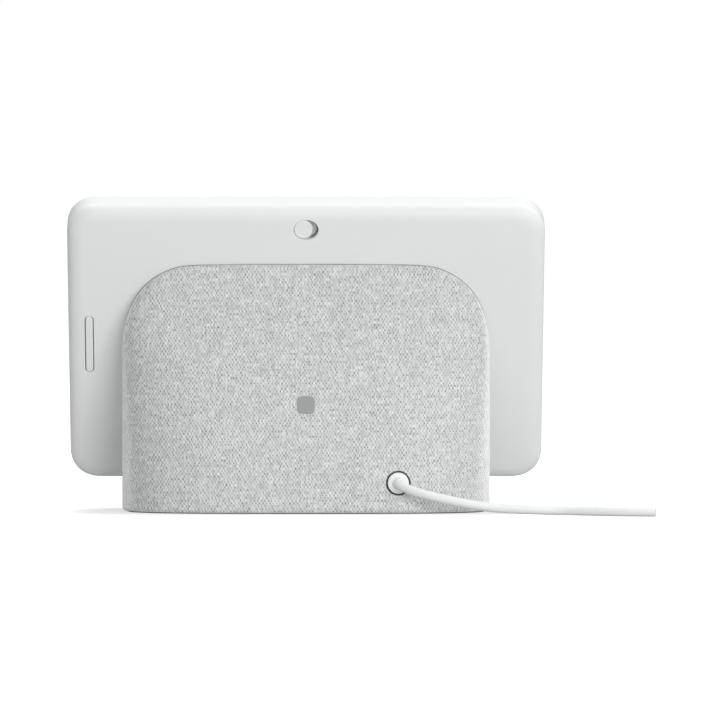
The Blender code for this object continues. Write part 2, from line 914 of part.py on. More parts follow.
roll = []
for k in range(6):
    a = math.pi * k / 5
    roll.append((18.35 + 1.1 * math.cos(a), -4.95 + 0.9 * math.sin(a)))
under = []
for k in range(5, -1, -1):
    a = math.pi * k / 5
    under.append((18.35 + 0.75 * math.cos(a), -5.0 + 0.55 * math.sin(a)))
add(
    "speaker_surround",
    lathe([(20.2, -4.98), (20.2, -4.7), *roll, *under], 24),
    "rubber_black",
    SPEAKER,
)
# speaker_cone: the cone with its domed cap, one thin turned skin
CAP_R, CAP_RISE, CAP_Z = 8.4, 2.3, -11.0
cap = [
    (CAP_R * math.sin(math.pi / 2 * k / 4), CAP_Z + CAP_RISE * math.cos(math.pi / 2 * k / 4))
    for k in range(5)
]
cap[0] = (0, cap[0][1])
cap_inside = [
    (
        (CAP_R - 0.5) * math.sin(math.pi / 2 * k / 4),
        CAP_Z - 0.5 + CAP_RISE * math.cos(math.pi / 2 * k / 4),
    )
    for k in range(4, 0, -1)
]
add(
    "speaker_cone",
    lathe(
        [
            *cap,
            (16.5, -5.35),
            (16.9, -5.1),
            (16.9, -5.6),
            (8.7, -11.8),
            *cap_inside,
            (0, CAP_Z - 0.5 + CAP_RISE),
        ],
        24,
    ),
    "paper_cone",
    SPEAKER,
)
add(
    "voice_coil",
    lathe([(7.7, -18.2), (8.1, -18.2), (8.1, -12.1), (7.7, -12.1)], 24),
    "copper",
    SPEAKER,
)
spider = [(14.1, -13.1), (8.5, -13.1), (8.5, -12.75)]
spider += [
    (8.5 + 5.6 * k / 8, -12.75 + (0.3 if k % 2 else 0.0)) for k in range(1, 8)
]
spider += [(14.1, -12.75)]
add("spider", lathe(spider, 20), "paper_cone", SPEAKER)
add(
    "top_plate",
    lathe([(8.5, -17.0), (14.0, -17.0), (14.0, -16.1), (8.5, -16.1)], 24),
    "steel",
    SPEAKER,
)
add(
    "speaker_magnet",
    lathe([(10.0, -20.4), (14.6, -20.4), (14.6, -17.2), (10.0, -17.2)], 24),
    "ferrite",
    SPEAKER,
)
add(
    "speaker_yoke",
    lathe(
        [
            (0, -22.3),
            (13.4, -22.3),
            (14.0, -21.7),
            (14.0, -20.6),
            (7.3, -20.6),
            (7.3, -16.0),
            (0, -16.0),
        ],
        24,
    ),
    "steel",
    SPEAKER,
)

# ---------------------------------------------------------------- power socket
socket = add(
    "power_socket",
    block((-4.5, -4.3, -20.0), (4.5, 4.3, -7.6), 0.3),
    "black_plastic",
    SOCKET,
)
# The contact pin stays standing in the bore.
cut(
    socket,
    cutter(
        "cut_socket_bore",
        lathe([(0.5, -17.6), (2.0, -17.6), (2.0, 0), (0.5, 0)], 24),
        SOCKET,
    ),
    cutter("cut_pin_tip", tube((0, 0), "z", 1.0, -9.5, 0, 16), SOCKET),
)
add(
    "socket_board",
    block((-8.5, 4.4, -21.5), (5.0, 5.3, -8.2)),
    "circuit_board",
    SOCKET,
)
add(
    "socket_grommet",
    lathe([(4.2, -7.3), (4.8, -7.3), (4.8, -3.2), (4.2, -3.2)], 24),
    "grey_plastic",
    SOCKET,
)

# ---------------------------------------------------------------- plug and cable, pulled out along the socket's axis
plug_profile = [
    (0, -7.2),
    (PLUG_R - 0.3, -7.2),
    (PLUG_R, -6.9),
    (PLUG_R, PLUG_PROUD - 0.7),
    (PLUG_R - 0.2, PLUG_PROUD - 0.2),
    (PLUG_R - 0.7, PLUG_PROUD),
    (0, PLUG_PROUD),
]
add("plug_body", lathe(plug_profile, 28), "cable_white", SOCKET)
add(
    "plug_barrel",
    lathe(
        [
            (0.8, -16.6),
            (1.55, -16.6),
            (1.75, -16.3),
            (1.75, -7.45),
            (0.8, -7.45),
        ],
        16,
    ),
    "steel",
    SOCKET,
)

# Cable centreline: out of the plug, round to the side, and down onto the table.
CABLE_PATH = [
    (-34.33, JACK[1] + PLUG_PROUD + 0.3, 11.32),
    (-35.0, 26.0, 10.9),
    (-38.6, 28.8, 9.1),
    (-44.2, 31.0, 7.65),
    (-49.8, 32.0, 6.25),
    (-57.2, 32.5, 4.75),
    (-64.6, 32.5, 3.5),
    (-72.0, 32.0, 2.6),
    (-83.0, 31.4, 2.05),
    (-94.3, 31.0, 1.72),
    (-105.0, 34.8, 1.7),
    (-116.1, 38.8, 1.7),
    (-129.2, 41.0, 1.7),
]


def smooth_path(points, per):
    """Catmull-Rom through the points."""
    p = [points[0], *points, points[-1]]
    out = []
    for k in range(1, len(p) - 2):
        for j in range(per):
            t = j / per
            out.append(
                tuple(
                    0.5
                    * (
                        2 * p[k][i]
                        + (p[k + 1][i] - p[k - 1][i]) * t
                        + (2 * p[k - 1][i] - 5 * p[k][i] + 4 * p[k + 1][i] - p[k + 2][i])
                        * t
                        * t
                        + (3 * p[k][i] - p[k - 1][i] - 3 * p[k + 1][i] + p[k + 2][i])
                        * t**3
                    )
                    for i in range(3)
                )
            )
    return out + [points[-1]]


def sweep(path, radius_at, n=12):
    """A round tube along a path. radius_at(length so far) is its radius."""
    points = [Vector(p) for p in path]
    rings, run = [], 0.0
    up = Vector((0, 0, 1))
    for k, p in enumerate(points):
        if k:
            run += (p - points[k - 1]).length
        tangent = (
            points[min(k + 1, len(points) - 1)] - points[max(k - 1, 0)]
        ).normalized()
        side = tangent.cross(up).normalized()
        top = side.cross(tangent).normalized()
        r = radius_at(run)
        rings.append(
            [
                tuple(
                    p
                    + side * (r * math.cos(2 * math.pi * i / n))
                    + top * (r * math.sin(2 * math.pi * i / n))
                )
                for i in range(n)
            ]
        )
    return loft(rings)


path = smooth_path(CABLE_PATH, 2)
add(
    "power_cable",
    sweep(path, lambda s: CABLE_R + 0.35 * max(0.0, 1 - s / 6.0) ** 1.2, 12),
    "cable_white",
    BASE,
)

# ---------------------------------------------------------------- inner wiring
def wire(name, points, radius, parent, mat="rubber_black"):
    return add(
        name, sweep(smooth_path(points, 3), lambda s: radius, 7), mat, parent
    )


# Both leave the main board's lower edge and pass the window in the display's back.
def board_exit(x):
    return [(x, -13.5, 56.4), (x, -16.1, 50.4), (x, -17.6, 44.9), (x, -16.7, 40.3)]


wire(
    "speaker_wire",
    [*board_exit(10), (12, -14.2, 37), (16.5, -9, 34), (18, -3, 33), (15.7, 2.3, 34)],
    0.6,
    BASE,
)
wire(
    "socket_wire",
    [
        *board_exit(-10),
        (-12, -14.0, 35),
        (-16, -11.5, 28),
        (-21, -8.5, 21),
        (-28, -5.5, 15),
        (JACK[0], 1.2, JACK[2]),
    ],
    0.6,
    BASE,
)

# ---------------------------------------------------------------- badge: a plain rounded tile pressed onto the fabric
tile = []
for k in range(32):
    a = 2 * math.pi * (k + 0.5) / 32
    c, s = math.cos(a), math.sin(a)
    tile.append(
        (
            3.3 * math.copysign(abs(c) ** 0.5, c),
            3.3 * math.copysign(abs(s) ** 0.5, s),
        )
    )
add(
    "badge",
    loft([[(x, y, h) for x, y in tile] for h in (0.1, 0.4)]),
    "badge_grey",
    BADGE,
)
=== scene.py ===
"""Looks for the small smart display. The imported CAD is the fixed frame: every piece here rides on one of its bodies."""

import math

import bmesh
import bpy
import numpy as np
from mathutils import Matrix, Vector
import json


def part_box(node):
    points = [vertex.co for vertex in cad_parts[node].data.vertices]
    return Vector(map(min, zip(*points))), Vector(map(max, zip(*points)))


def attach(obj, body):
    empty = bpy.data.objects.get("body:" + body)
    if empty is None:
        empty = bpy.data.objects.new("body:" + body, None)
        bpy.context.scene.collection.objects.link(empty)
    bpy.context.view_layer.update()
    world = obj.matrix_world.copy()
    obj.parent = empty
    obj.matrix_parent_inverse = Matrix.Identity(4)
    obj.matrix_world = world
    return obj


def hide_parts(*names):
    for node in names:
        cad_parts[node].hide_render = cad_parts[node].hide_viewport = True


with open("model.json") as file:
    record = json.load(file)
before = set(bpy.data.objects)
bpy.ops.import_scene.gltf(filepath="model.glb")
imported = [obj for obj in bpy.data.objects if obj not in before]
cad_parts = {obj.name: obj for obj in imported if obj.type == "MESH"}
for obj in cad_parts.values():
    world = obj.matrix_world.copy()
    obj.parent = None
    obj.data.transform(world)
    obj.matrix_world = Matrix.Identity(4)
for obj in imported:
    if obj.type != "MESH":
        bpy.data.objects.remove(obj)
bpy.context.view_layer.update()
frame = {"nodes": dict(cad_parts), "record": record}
scene = bpy.context.scene
MM = 0.001
rng = np.random.default_rng(7)

# ---------------------------------------------------------------- sizes: the CAD's own driving sizes, in millimetres
WIDTH, HEIGHT, DEPTH = 178.5, 118.0, 67.3
LEAN = math.radians(25.0)
THICK, BOTTOM_Z = 11.0, 14.0
SLAB = (HEIGHT - BOTTOM_Z) / math.cos(LEAN)
CORNER, WALL, RIM = 12.0, 1.6, 0.9
BASE_HALF_W, BASE_HALF_D, BASE_POWER = 68.8, 25.0, 3.2
ARCH_Z, ARCH_W, ARCH_POWER = 56.1, 36.7, 2.6
SEAM_Z, SEAM_Y = 92.6, 6.49
FRONT_Y = BASE_HALF_D - DEPTH
REAR_SLOPE = (BASE_HALF_D - SEAM_Y) / SEAM_Z
REAR_ANGLE = math.atan(REAR_SLOPE)


def centre_mm(node):
    lo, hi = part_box(node)
    return (lo + hi) / 2 / MM


KNOB = centre_mm("mute_knob")
PIN = centre_mm("rocker_pin")
PLUG_LO, PLUG_HI = (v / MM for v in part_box("plug_body"))
COVER_LO, COVER_HI = (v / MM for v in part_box("rear_cover"))
if abs((COVER_HI - COVER_LO).x - WIDTH) > 0.5 or abs(COVER_HI.z - HEIGHT) > 1.0:
    raise RuntimeError("the sizes here no longer agree with the CAD")

DISPLAY = Matrix.Translation((0, FRONT_Y, BOTTOM_Z)) @ Matrix.Rotation(-LEAN, 4, "X")
MUTE_V = 105.8
ROCKER_X, ROCKER_V, ROCKER_W, ROCKER_L, PIN_W = 81.3, 58.2, 2.7, 23.2, 8.0
JACK_X, JACK_Z = (PLUG_LO.x + PLUG_HI.x) / 2, (PLUG_LO.z + PLUG_HI.z) / 2
PLUG_FACE_Y = PLUG_HI.y
PLUG_R = (PLUG_HI.x - PLUG_LO.x) / 2


# ---------------------------------------------------------------- node helpers
class Nodes:
    """Short names for building a material's node tree."""

    def __init__(self, name):
        self.m = bpy.data.materials.new(name)
        self.m.use_nodes = True
        self.t = self.m.node_tree
        self.t.nodes.clear()
        self.out = self.t.nodes.new("ShaderNodeOutputMaterial")
        self.bsdf = self.t.nodes.new("ShaderNodeBsdfPrincipled")
        self.t.links.new(self.bsdf.outputs[0], self.out.inputs["Surface"])

    def new(self, kind, **props):
        n = self.t.nodes.new(kind)
        for k, v in props.items():
            setattr(n, k, v)
        return n

    def put(self, socket, value):
        if isinstance(value, bpy.types.NodeSocket):
            self.t.links.new(value, socket)
        else:
            socket.default_value = value

    def set(self, **inputs):
        for k, v in inputs.items():
            self.put(self.bsdf.inputs[k.replace("_", " ")], v)

    def math(self, op, a, b=0.0, c=0.0, clamp=False):
        n = self.new("ShaderNodeMath", operation=op, use_clamp=clamp)
        for i, v in enumerate((a, b, c)):
            self.put(n.inputs[i], v)
        return n.outputs[0]

    def ramp(self, x, lo, hi, a=0.0, b=1.0, smooth=True):
        n = self.new(
            "ShaderNodeMapRange",
            interpolation_type="SMOOTHSTEP" if smooth else "LINEAR",
        )
        for i, v in enumerate((x, lo, hi, a, b)):
            self.put(n.inputs[i], v)
        return n.outputs[0]

    def mix(self, fac, a, b, blend="MIX"):
        n = self.new("ShaderNodeMix", data_type="RGBA", blend_type=blend)
        self.put(n.inputs[0], fac)
        self.put(n.inputs[6], a)
        self.put(n.inputs[7], b)
        return n.outputs[2]

    def coords(self, scale=(1, 1, 1), rotation=(0, 0, 0)):
        c = self.new("ShaderNodeTexCoord")
        m = self.new("ShaderNodeMapping")
        m.inputs["Scale"].default_value = scale
        m.inputs["Rotation"].default_value = rotation
        self.t.links.new(c.outputs["Object"], m.inputs["Vector"])
        return m.outputs[0]

    def noise(self, scale, detail=3.0, rough=0.5, vector=None, stretch=(1, 1, 1)):
        n = self.new("ShaderNodeTexNoise")
        n.inputs["Scale"].default_value = scale
        n.inputs["Detail"].default_value = detail
        n.inputs["Roughness"].default_value = rough
        self.put(n.inputs["Vector"], vector or self.coords(stretch))
        return n.outputs["Fac"]

    def voronoi(self, scale, vector=None, feature="F1"):
        n = self.new("ShaderNodeTexVoronoi", feature=feature)
        n.inputs["Scale"].default_value = scale
        self.put(n.inputs["Vector"], vector or self.coords())
        return n.outputs["Distance"]

    def bump(self, height, strength, distance, normal=None):
        n = self.new("ShaderNodeBump")
        self.put(n.inputs["Height"], height)
        n.inputs["Strength"].default_value = strength
        n.inputs["Distance"].default_value = distance
        if normal is not None:
            self.t.links.new(normal, n.inputs["Normal"])
        return n.outputs[0]


def rgb(r, g=None, b=None):
    return (r, r if g is None else g, r if b is None else b, 1.0)


def tint(n, colour, amount, scale, detail=2.0):
    """The colour, a little lighter and darker from place to place."""
    f = n.noise(scale, detail)
    dark = rgb(*(c * (1 - amount) for c in colour))
    light = rgb(*(min(c * (1 + amount), 1.0) for c in colour))
    return n.mix(n.ramp(f, 0.3, 0.7), dark, light)


def moulded(name, colour, rough, grain=2600, depth=0.00002, strength=0.12, wave=0.02, coat=0.0):
    """Injection-moulded plastic: spark-eroded grain, slow flow variation, roughness that varies with both."""
    n = Nodes(name)
    fine = n.noise(grain, 4.0, 0.6)
    slow = n.noise(22, 2.0)
    n.set(
        Base_Color=tint(n, colour, wave, 35),
        Roughness=n.math(
            "ADD", n.ramp(fine, 0.3, 0.7, rough - 0.05, rough + 0.05), n.ramp(slow, 0.3, 0.7, -0.02, 0.02)
        ),
        Normal=n.bump(fine, strength, depth),
    )
    n.bsdf.inputs["IOR"].default_value = 1.47
    n.bsdf.inputs["Coat Weight"].default_value = coat
    return n.m


def rolled_metal(name, colour, rough, stretch=(1, 12, 12), grain=900):
    """Sheet metal with a rolling direction."""
    n = Nodes(name)
    brush = n.noise(grain, 4.0, 0.7, stretch=stretch)
    n.set(
        Base_Color=tint(n, colour, 0.05, 60),
        Metallic=1.0,
        Roughness=n.ramp(brush, 0.3, 0.7, rough - 0.08, rough + 0.10),
        Normal=n.bump(brush, 0.15, 0.00002),
    )
    return n.m


def circuit(name):
    """Solder mask with faint tracks and pads."""
    n = Nodes(name)
    v = n.coords((1, 1, 1))
    track = n.new("ShaderNodeTexBrick")
    track.inputs["Scale"].default_value = 260
    track.inputs["Mortar Size"].default_value = 0.06
    track.inputs["Color1"].default_value = rgb(0.018, 0.115, 0.055)
    track.inputs["Color2"].default_value = rgb(0.022, 0.135, 0.065)
    track.inputs["Mortar"].default_value = rgb(0.035, 0.19, 0.09)
    n.put(track.inputs["Vector"], v)
    pads = n.voronoi(420)
    pad = n.ramp(pads, 0.10, 0.16, 1.0, 0.0)
    n.set(
        Base_Color=n.mix(pad, track.outputs["Color"], rgb(0.62, 0.50, 0.24)),
        Metallic=pad,
        Roughness=n.ramp(pads, 0.1, 0.4, 0.28, 0.42),
        Normal=n.bump(pads, 0.2, 0.00005),
    )
    return n.m


def rubber(name, colour, rough=0.75):
    n = Nodes(name)
    f = n.noise(1500, 5.0, 0.65)
    n.set(
        Base_Color=tint(n, colour, 0.12, 90),
        Roughness=n.ramp(f, 0.3, 0.7, rough - 0.08, rough + 0.1),
        Normal=n.bump(f, 0.3, 0.00005),
    )
    return n.m


def pulp(name, colour):
    """Pressed paper fibre."""
    n = Nodes(name)
    f = n.noise(2400, 6.0, 0.75, stretch=(1, 0.35, 1))
    n.set(
        Base_Color=tint(n, colour, 0.25, 800, 4.0),
        Roughness=0.85,
        Normal=n.bump(f, 0.5, 0.00008),
    )
    return n.m


def winding(name):
    """Enamelled copper, with the turns showing."""
    n = Nodes(name)
    w = n.new("ShaderNodeTexWave", wave_type="BANDS", bands_direction="Y")
    w.inputs["Scale"].default_value = 1100
    n.put(w.inputs["Vector"], n.coords())
    n.set(
        Base_Color=n.mix(w.outputs["Fac"], rgb(0.38, 0.15, 0.06), rgb(0.80, 0.42, 0.22)),
        Metallic=1.0,
        Roughness=0.3,
        Normal=n.bump(w.outputs["Fac"], 0.4, 0.00008),
    )
    return n.m


def sintered(name):
    n = Nodes(name)
    f = n.noise(1800, 6.0, 0.8)
    n.set(
        Base_Color=tint(n, (0.06, 0.06, 0.065), 0.3, 700, 5.0),
        Metallic=0.35,
        Roughness=n.ramp(f, 0.3, 0.7, 0.45, 0.7),
        Normal=n.bump(f, 0.35, 0.00005),
    )
    return n.m


# ---------------------------------------------------------------- the visible materials
SHELL_WHITE = (0.80, 0.815, 0.81)
shell_white = moulded("shell_white", SHELL_WHITE, 0.42, wave=0.006)
knob_white = moulded("knob_white", (0.80, 0.815, 0.81), 0.38, wave=0.006)
cable_white = moulded("cable_white", (0.82, 0.83, 0.825), 0.42, grain=1500, wave=0.01)
plug_white = moulded("plug_white", (0.86, 0.87, 0.865), 0.46, grain=2000, wave=0.01)
# painted shade: the seam bead's grey stands in for the shade in the crease between cloth and display
seam_grey_painted_shade = rubber("seam_grey_painted_shade", (0.36, 0.365, 0.365), 0.8)
badge_grey = moulded("badge_grey", (0.33, 0.34, 0.34), 0.55, grain=1800)
grey_plastic = moulded("grey_plastic", (0.38, 0.39, 0.39), 0.55)
black_plastic = moulded("black_plastic", (0.022, 0.022, 0.024), 0.5, wave=0.1)
orange_print = moulded("orange_print", (0.83, 0.20, 0.03), 0.5)
foot_rubber = rubber("foot_rubber", (0.07, 0.07, 0.073))
black_rubber = rubber("black_rubber", (0.025, 0.025, 0.026))
sheet_aluminium = rolled_metal("sheet_aluminium", (0.78, 0.79, 0.80), 0.38)
plated_steel = rolled_metal("plated_steel", (0.62, 0.62, 0.63), 0.34)
flex_copper = rolled_metal("flex_copper", (0.72, 0.40, 0.20), 0.35)
coil_copper = winding("coil_copper")
solder_mask = circuit("solder_mask")


def slot_floor_painted_shadow():
    """The slider's floor: grey, with a painted shadow: darker in a band round its far end, where the slot's wall would
    shade it.
    """
    n = Nodes("slot_floor_painted_shadow")
    at = n.new("ShaderNodeSeparateXYZ")
    n.put(at.inputs[0], n.coords())
    dx = n.math("SUBTRACT", at.outputs[0], -0.58 * MM)
    # height up the display's back, from the slot's middle
    up = n.math("DIVIDE", n.math("SUBTRACT", at.outputs[2], SLOT_Z), math.cos(LEAN))
    d = n.math("SQRT", n.math("ADD", n.math("POWER", dx, 2.0), n.math("POWER", up, 2.0)))
    # painted shadow: the floor is darkened in a crescent next to the slot's far wall
    far = n.math("MULTIPLY", n.ramp(d, 3.0 * MM, 3.75 * MM), n.ramp(dx, 0.0, -2.0 * MM))
    grain = n.noise(2600, 4.0, 0.6)
    n.set(
        Base_Color=n.mix(far, rgb(0.47, 0.48, 0.48), rgb(0.14, 0.145, 0.145)),
        Roughness=n.ramp(grain, 0.3, 0.7, 0.48, 0.6),
        Normal=n.bump(grain, 0.12, 0.00002),
    )
    return n.m


SLOT_Z = (DISPLAY @ Vector((0, 9.05, MUTE_V))).z * MM
recess_grey_painted_shadow = slot_floor_painted_shadow()
cone_pulp = pulp("cone_pulp", (0.05, 0.05, 0.055))
spider_cloth = pulp("spider_cloth", (0.32, 0.22, 0.10))
magnet_ferrite = sintered("magnet_ferrite")


# The knit repeats on a staggered grid: columns 1.28 mm apart, rows 0.985 mm apart and shifted by half.
STITCH_X, STITCH_Z = 1.28, 1.0045


def knit():
    """Melange knit: staggered pinholes, raised loops, and light and grey yarn that varies stitch by stitch."""
    n = Nodes("knit_fabric")
    uv = n.new("ShaderNodeUVMap", uv_map="cloth")
    sep = n.new("ShaderNodeSeparateXYZ")
    n.put(sep.inputs[0], uv.outputs[0])
    # The cloth coordinates are in metres. A slow wander keeps the grid from looking ruled.
    wander = n.new("ShaderNodeTexNoise")
    wander.inputs["Scale"].default_value = 160
    wander.inputs["Detail"].default_value = 2
    n.put(wander.inputs["Vector"], uv.outputs[0])
    wsep = n.new("ShaderNodeSeparateColor")
    n.put(wsep.inputs[0], wander.outputs["Color"])
    du = n.math("MULTIPLY", n.math("SUBTRACT", wsep.outputs[0], 0.5), 0.9)
    dv = n.math("MULTIPLY", n.math("SUBTRACT", wsep.outputs[1], 0.5), 0.7)
    u = n.math("ADD", n.math("MULTIPLY", sep.outputs[0], 1000 / STITCH_X), du)
    v = n.math("ADD", n.math("MULTIPLY", sep.outputs[1], 1000 / STITCH_Z), dv)
    # lattice is +1 at each hole and -1 at the crown of each loop; alternate rows lean opposite ways
    lean = n.math("MULTIPLY", n.math("SINE", n.math("MULTIPLY", v, math.pi)), 0.11)
    cu = n.math("COSINE", n.math("MULTIPLY", n.math("ADD", u, lean), 2 * math.pi))
    cv = n.math("COSINE", n.math("MULTIPLY", v, math.pi))
    lattice = n.math("MULTIPLY", cu, cv)
    crown = n.ramp(n.math("MULTIPLY", lattice, -1.0), -0.1, 1.0)
    # each hole is an upright slit between two loops, a little off its place and open by its own amount
    half_row = n.math("FLOOR", n.math("ADD", v, 0.5))
    across = n.math("ADD", n.math("ADD", u, 0.5), n.math("MULTIPLY", half_row, 0.5))
    hcell = n.new("ShaderNodeCombineXYZ")
    n.put(hcell.inputs[0], n.math("FLOOR", across))
    n.put(hcell.inputs[1], half_row)
    shut = n.new("ShaderNodeTexWhiteNoise", noise_dimensions="2D")
    n.put(shut.inputs["Vector"], hcell.outputs[0])
    dice = n.new("ShaderNodeSeparateColor")
    n.put(dice.inputs[0], shut.outputs["Color"])
    du2 = n.math("SUBTRACT", n.math("FRACT", across), 0.5)
    du2 = n.math("ADD", du2, n.ramp(dice.outputs[1], 0, 1, -0.17, 0.17, smooth=False))
    dv2 = n.math("SUBTRACT", n.math("FRACT", n.math("ADD", v, 0.5)), 0.5)
    du2 = n.math("ADD", du2, n.math("MULTIPLY", dv2, n.ramp(dice.outputs[2], 0, 1, -0.22, 0.22, smooth=False)))
    far = n.math(
        "SQRT",
        n.math("ADD", n.math("POWER", n.math("DIVIDE", du2, 0.25), 2.0), n.math("POWER", n.math("DIVIDE", dv2, 0.58), 2.0)),
    )
    hole = n.ramp(far, 1.0, 0.15)
    # each loop's own brightness: a random number for its cell
    cell = n.new("ShaderNodeCombineXYZ")
    n.put(cell.inputs[0], n.math("FLOOR", n.math("MULTIPLY", u, 2.0)))
    n.put(cell.inputs[1], n.math("FLOOR", n.math("ADD", v, 0.5)))
    own = n.new("ShaderNodeTexWhiteNoise", noise_dimensions="2D")
    n.put(own.inputs["Vector"], cell.outputs[0])
    # runs of lighter and darker yarn along a row, and fainter ones down a column
    row = n.new("ShaderNodeCombineXYZ")
    n.put(row.inputs[0], n.math("MULTIPLY", u, 0.17))
    n.put(row.inputs[1], n.math("MULTIPLY", n.math("FLOOR", n.math("ADD", v, 0.5)), 7.31))
    run = n.new("ShaderNodeTexNoise")
    run.inputs["Scale"].default_value = 1.0
    run.inputs["Detail"].default_value = 1.0
    n.put(run.inputs["Vector"], row.outputs[0])
    col = n.new("ShaderNodeCombineXYZ")
    n.put(col.inputs[0], n.math("MULTIPLY", n.math("FLOOR", n.math("MULTIPLY", u, 2.0)), 5.17))
    n.put(col.inputs[1], n.math("MULTIPLY", v, 0.11))
    wale = n.new("ShaderNodeTexNoise")
    wale.inputs["Scale"].default_value = 1.0
    wale.inputs["Detail"].default_value = 1.0
    n.put(wale.inputs["Vector"], col.outputs[0])
    # loose fibre
    fibre = n.new("ShaderNodeTexNoise")
    fibre.inputs["Scale"].default_value = 2600
    fibre.inputs["Detail"].default_value = 3
    n.put(fibre.inputs["Vector"], uv.outputs[0])
    tone = n.math("ADD", n.ramp(own.outputs["Value"], 0, 1, -0.095, 0.095, smooth=False),
                  n.ramp(run.outputs["Fac"], 0.3, 0.7, -0.045, 0.045, smooth=False))
    tone = n.math("ADD", tone, n.ramp(wale.outputs["Fac"], 0.3, 0.7, -0.03, 0.03, smooth=False))
    tone = n.math("ADD", tone, n.ramp(fibre.outputs["Fac"], 0.3, 0.7, -0.10, 0.10, smooth=False))
    # painted highlight: the raised crown of each loop is painted a little lighter
    tone = n.math("ADD", tone, n.ramp(crown, 0, 1, -0.02, 0.07, smooth=False))
    # seen edge on, the fuzz covers the holes; there the yarn is also painted lighter, a painted sheen
    rim = n.new("ShaderNodeLayerWeight")
    rim.inputs["Blend"].default_value = 0.5
    edge_on = n.ramp(rim.outputs["Facing"], 0.55, 0.92)
    # some holes are pulled nearly shut
    depth = n.ramp(dice.outputs[0], 0, 1, 0.02, 0.68, smooth=False)
    depth = n.math("MULTIPLY", depth, n.math("SUBTRACT", 1.0, edge_on))
    level = n.math("ADD", tone, FABRIC_LEVEL)
    # painted shade: each hole is painted darker, deeper holes more, where shade falls inside it
    level = n.math("MULTIPLY", level, n.math("SUBTRACT", 1.0, n.math("MULTIPLY", hole, depth)))
    # painted sheen: the colour is made lighter towards the outline, where the cloth is seen edge on
    level = n.math("MULTIPLY", level, n.ramp(rim.outputs["Facing"], RIM_FROM, RIM_TO, 1.0, RIM_PAINTED_SHEEN))
    grey = n.new("ShaderNodeCombineColor")
    n.put(grey.inputs[0], n.math("MULTIPLY", level, 0.98))
    n.put(grey.inputs[1], level)
    n.put(grey.inputs[2], n.math("MULTIPLY", level, 0.99))
    height = n.math("SUBTRACT", n.math("MULTIPLY", crown, 0.6), n.math("MULTIPLY", hole, 1.0))
    height = n.math("ADD", height, n.math("MULTIPLY", fibre.outputs["Fac"], 0.35))
    # the nap lies outward from the rear's middle, so the sides turn from the light sooner than the bare shape would
    geo = n.new("ShaderNodeNewGeometry")
    nap = n.new("ShaderNodeVectorMath", operation="MULTIPLY")
    n.put(nap.inputs[0], geo.outputs["Normal"])
    nap.inputs[1].default_value = (NAP, 1.0, 1.0)
    nap_unit = n.new("ShaderNodeVectorMath", operation="NORMALIZE")
    n.put(nap_unit.inputs[0], nap.outputs[0])
    n.set(
        Base_Color=grey.outputs[0],
        Roughness=0.92,
        Normal=n.bump(height, 0.55, 0.00022, nap_unit.outputs[0]),
        Sheen_Weight=n.ramp(rim.outputs["Facing"], 0.10, 0.60, 0.30, 1.0),
        Sheen_Roughness=0.6,
    )
    n.bsdf.inputs["Specular IOR Level"].default_value = 0.25
    return n.m


FABRIC_LEVEL = 0.66
NAP = 2.2
# painted sheen along the fabric's outline: where it starts, where it is full, and how much lighter
RIM_FROM, RIM_TO, RIM_PAINTED_SHEEN = 0.08, 0.48, 1.32
knit_fabric = knit()


def screen_glass():
    """Cover glass with a pale printed border and a dark panel behind the middle."""
    n = Nodes("screen_glass")
    uv = n.new("ShaderNodeUVMap", uv_map="face")
    sep = n.new("ShaderNodeSeparateXYZ")
    n.put(sep.inputs[0], uv.outputs[0])
    # distance to a rounded rectangle, in millimetres
    half_w, half_h, r = 154.2 / 2, 85.9 / 2, 1.6
    qx = n.math("MAXIMUM", n.math("SUBTRACT", n.math("ABSOLUTE", sep.outputs[0]), (half_w - r) * MM), 0.0)
    qy = n.math("MAXIMUM", n.math("SUBTRACT", n.math("ABSOLUTE", sep.outputs[1]), (half_h - r) * MM), 0.0)
    d = n.math("SQRT", n.math("ADD", n.math("POWER", qx, 2.0), n.math("POWER", qy, 2.0)))
    border = n.ramp(d, (r - 0.04) * MM, (r + 0.04) * MM)
    glow = n.noise(9, 1.0)
    dark = n.mix(glow, rgb(0.0045, 0.005, 0.007), rgb(0.008, 0.009, 0.012))
    pale = tint(n, (0.74, 0.755, 0.75), 0.01, 30)
    n.set(
        Base_Color=n.mix(border, dark, pale),
        Roughness=n.ramp(n.noise(14, 2.0), 0.3, 0.7, 0.045, 0.07),
        Coat_Weight=1.0,
        Coat_Roughness=0.03,
    )
    n.bsdf.inputs["IOR"].default_value = 1.5
    return n.m


screen_glass_mat = screen_glass()

BY_SLOT = {
    "white_shell": shell_white,
    "rocker_shell": shell_white,
    "fabric": knit_fabric,
    "badge_grey": badge_grey,
    "glass": screen_glass_mat,
    "lcd": moulded("panel_glass", (0.012, 0.012, 0.016), 0.15, wave=0.2),
    "backlight": moulded("light_guide", (0.72, 0.73, 0.75), 0.25, wave=0.03),
    "black_plastic": black_plastic,
    "grey_plastic": grey_plastic,
    "orange": orange_print,
    "aluminium": sheet_aluminium,
    "steel": plated_steel,
    "circuit_board": solder_mask,
    "copper": flex_copper,
    "ferrite": magnet_ferrite,
    "paper_cone": cone_pulp,
    "rubber_grey": foot_rubber,
    "rubber_black": black_rubber,
    "cable_white": cable_white,
}
BY_NODE = {
    "voice_coil": coil_copper,
    "spider": spider_cloth,
    "mute_carriage": recess_grey_painted_shadow,
    "rocker_cradle": black_plastic,
}
SLOT_OF = {s["node"]: s["material_slot"] for s in frame["record"]["subparts"]}
for node, obj in frame["nodes"].items():
    obj.data.materials.clear()
    obj.data.materials.append(BY_NODE.get(node, BY_SLOT[SLOT_OF[node]]))
    obj.data.shade_smooth()
    obj.data.set_sharp_from_angle(angle=math.radians(32))


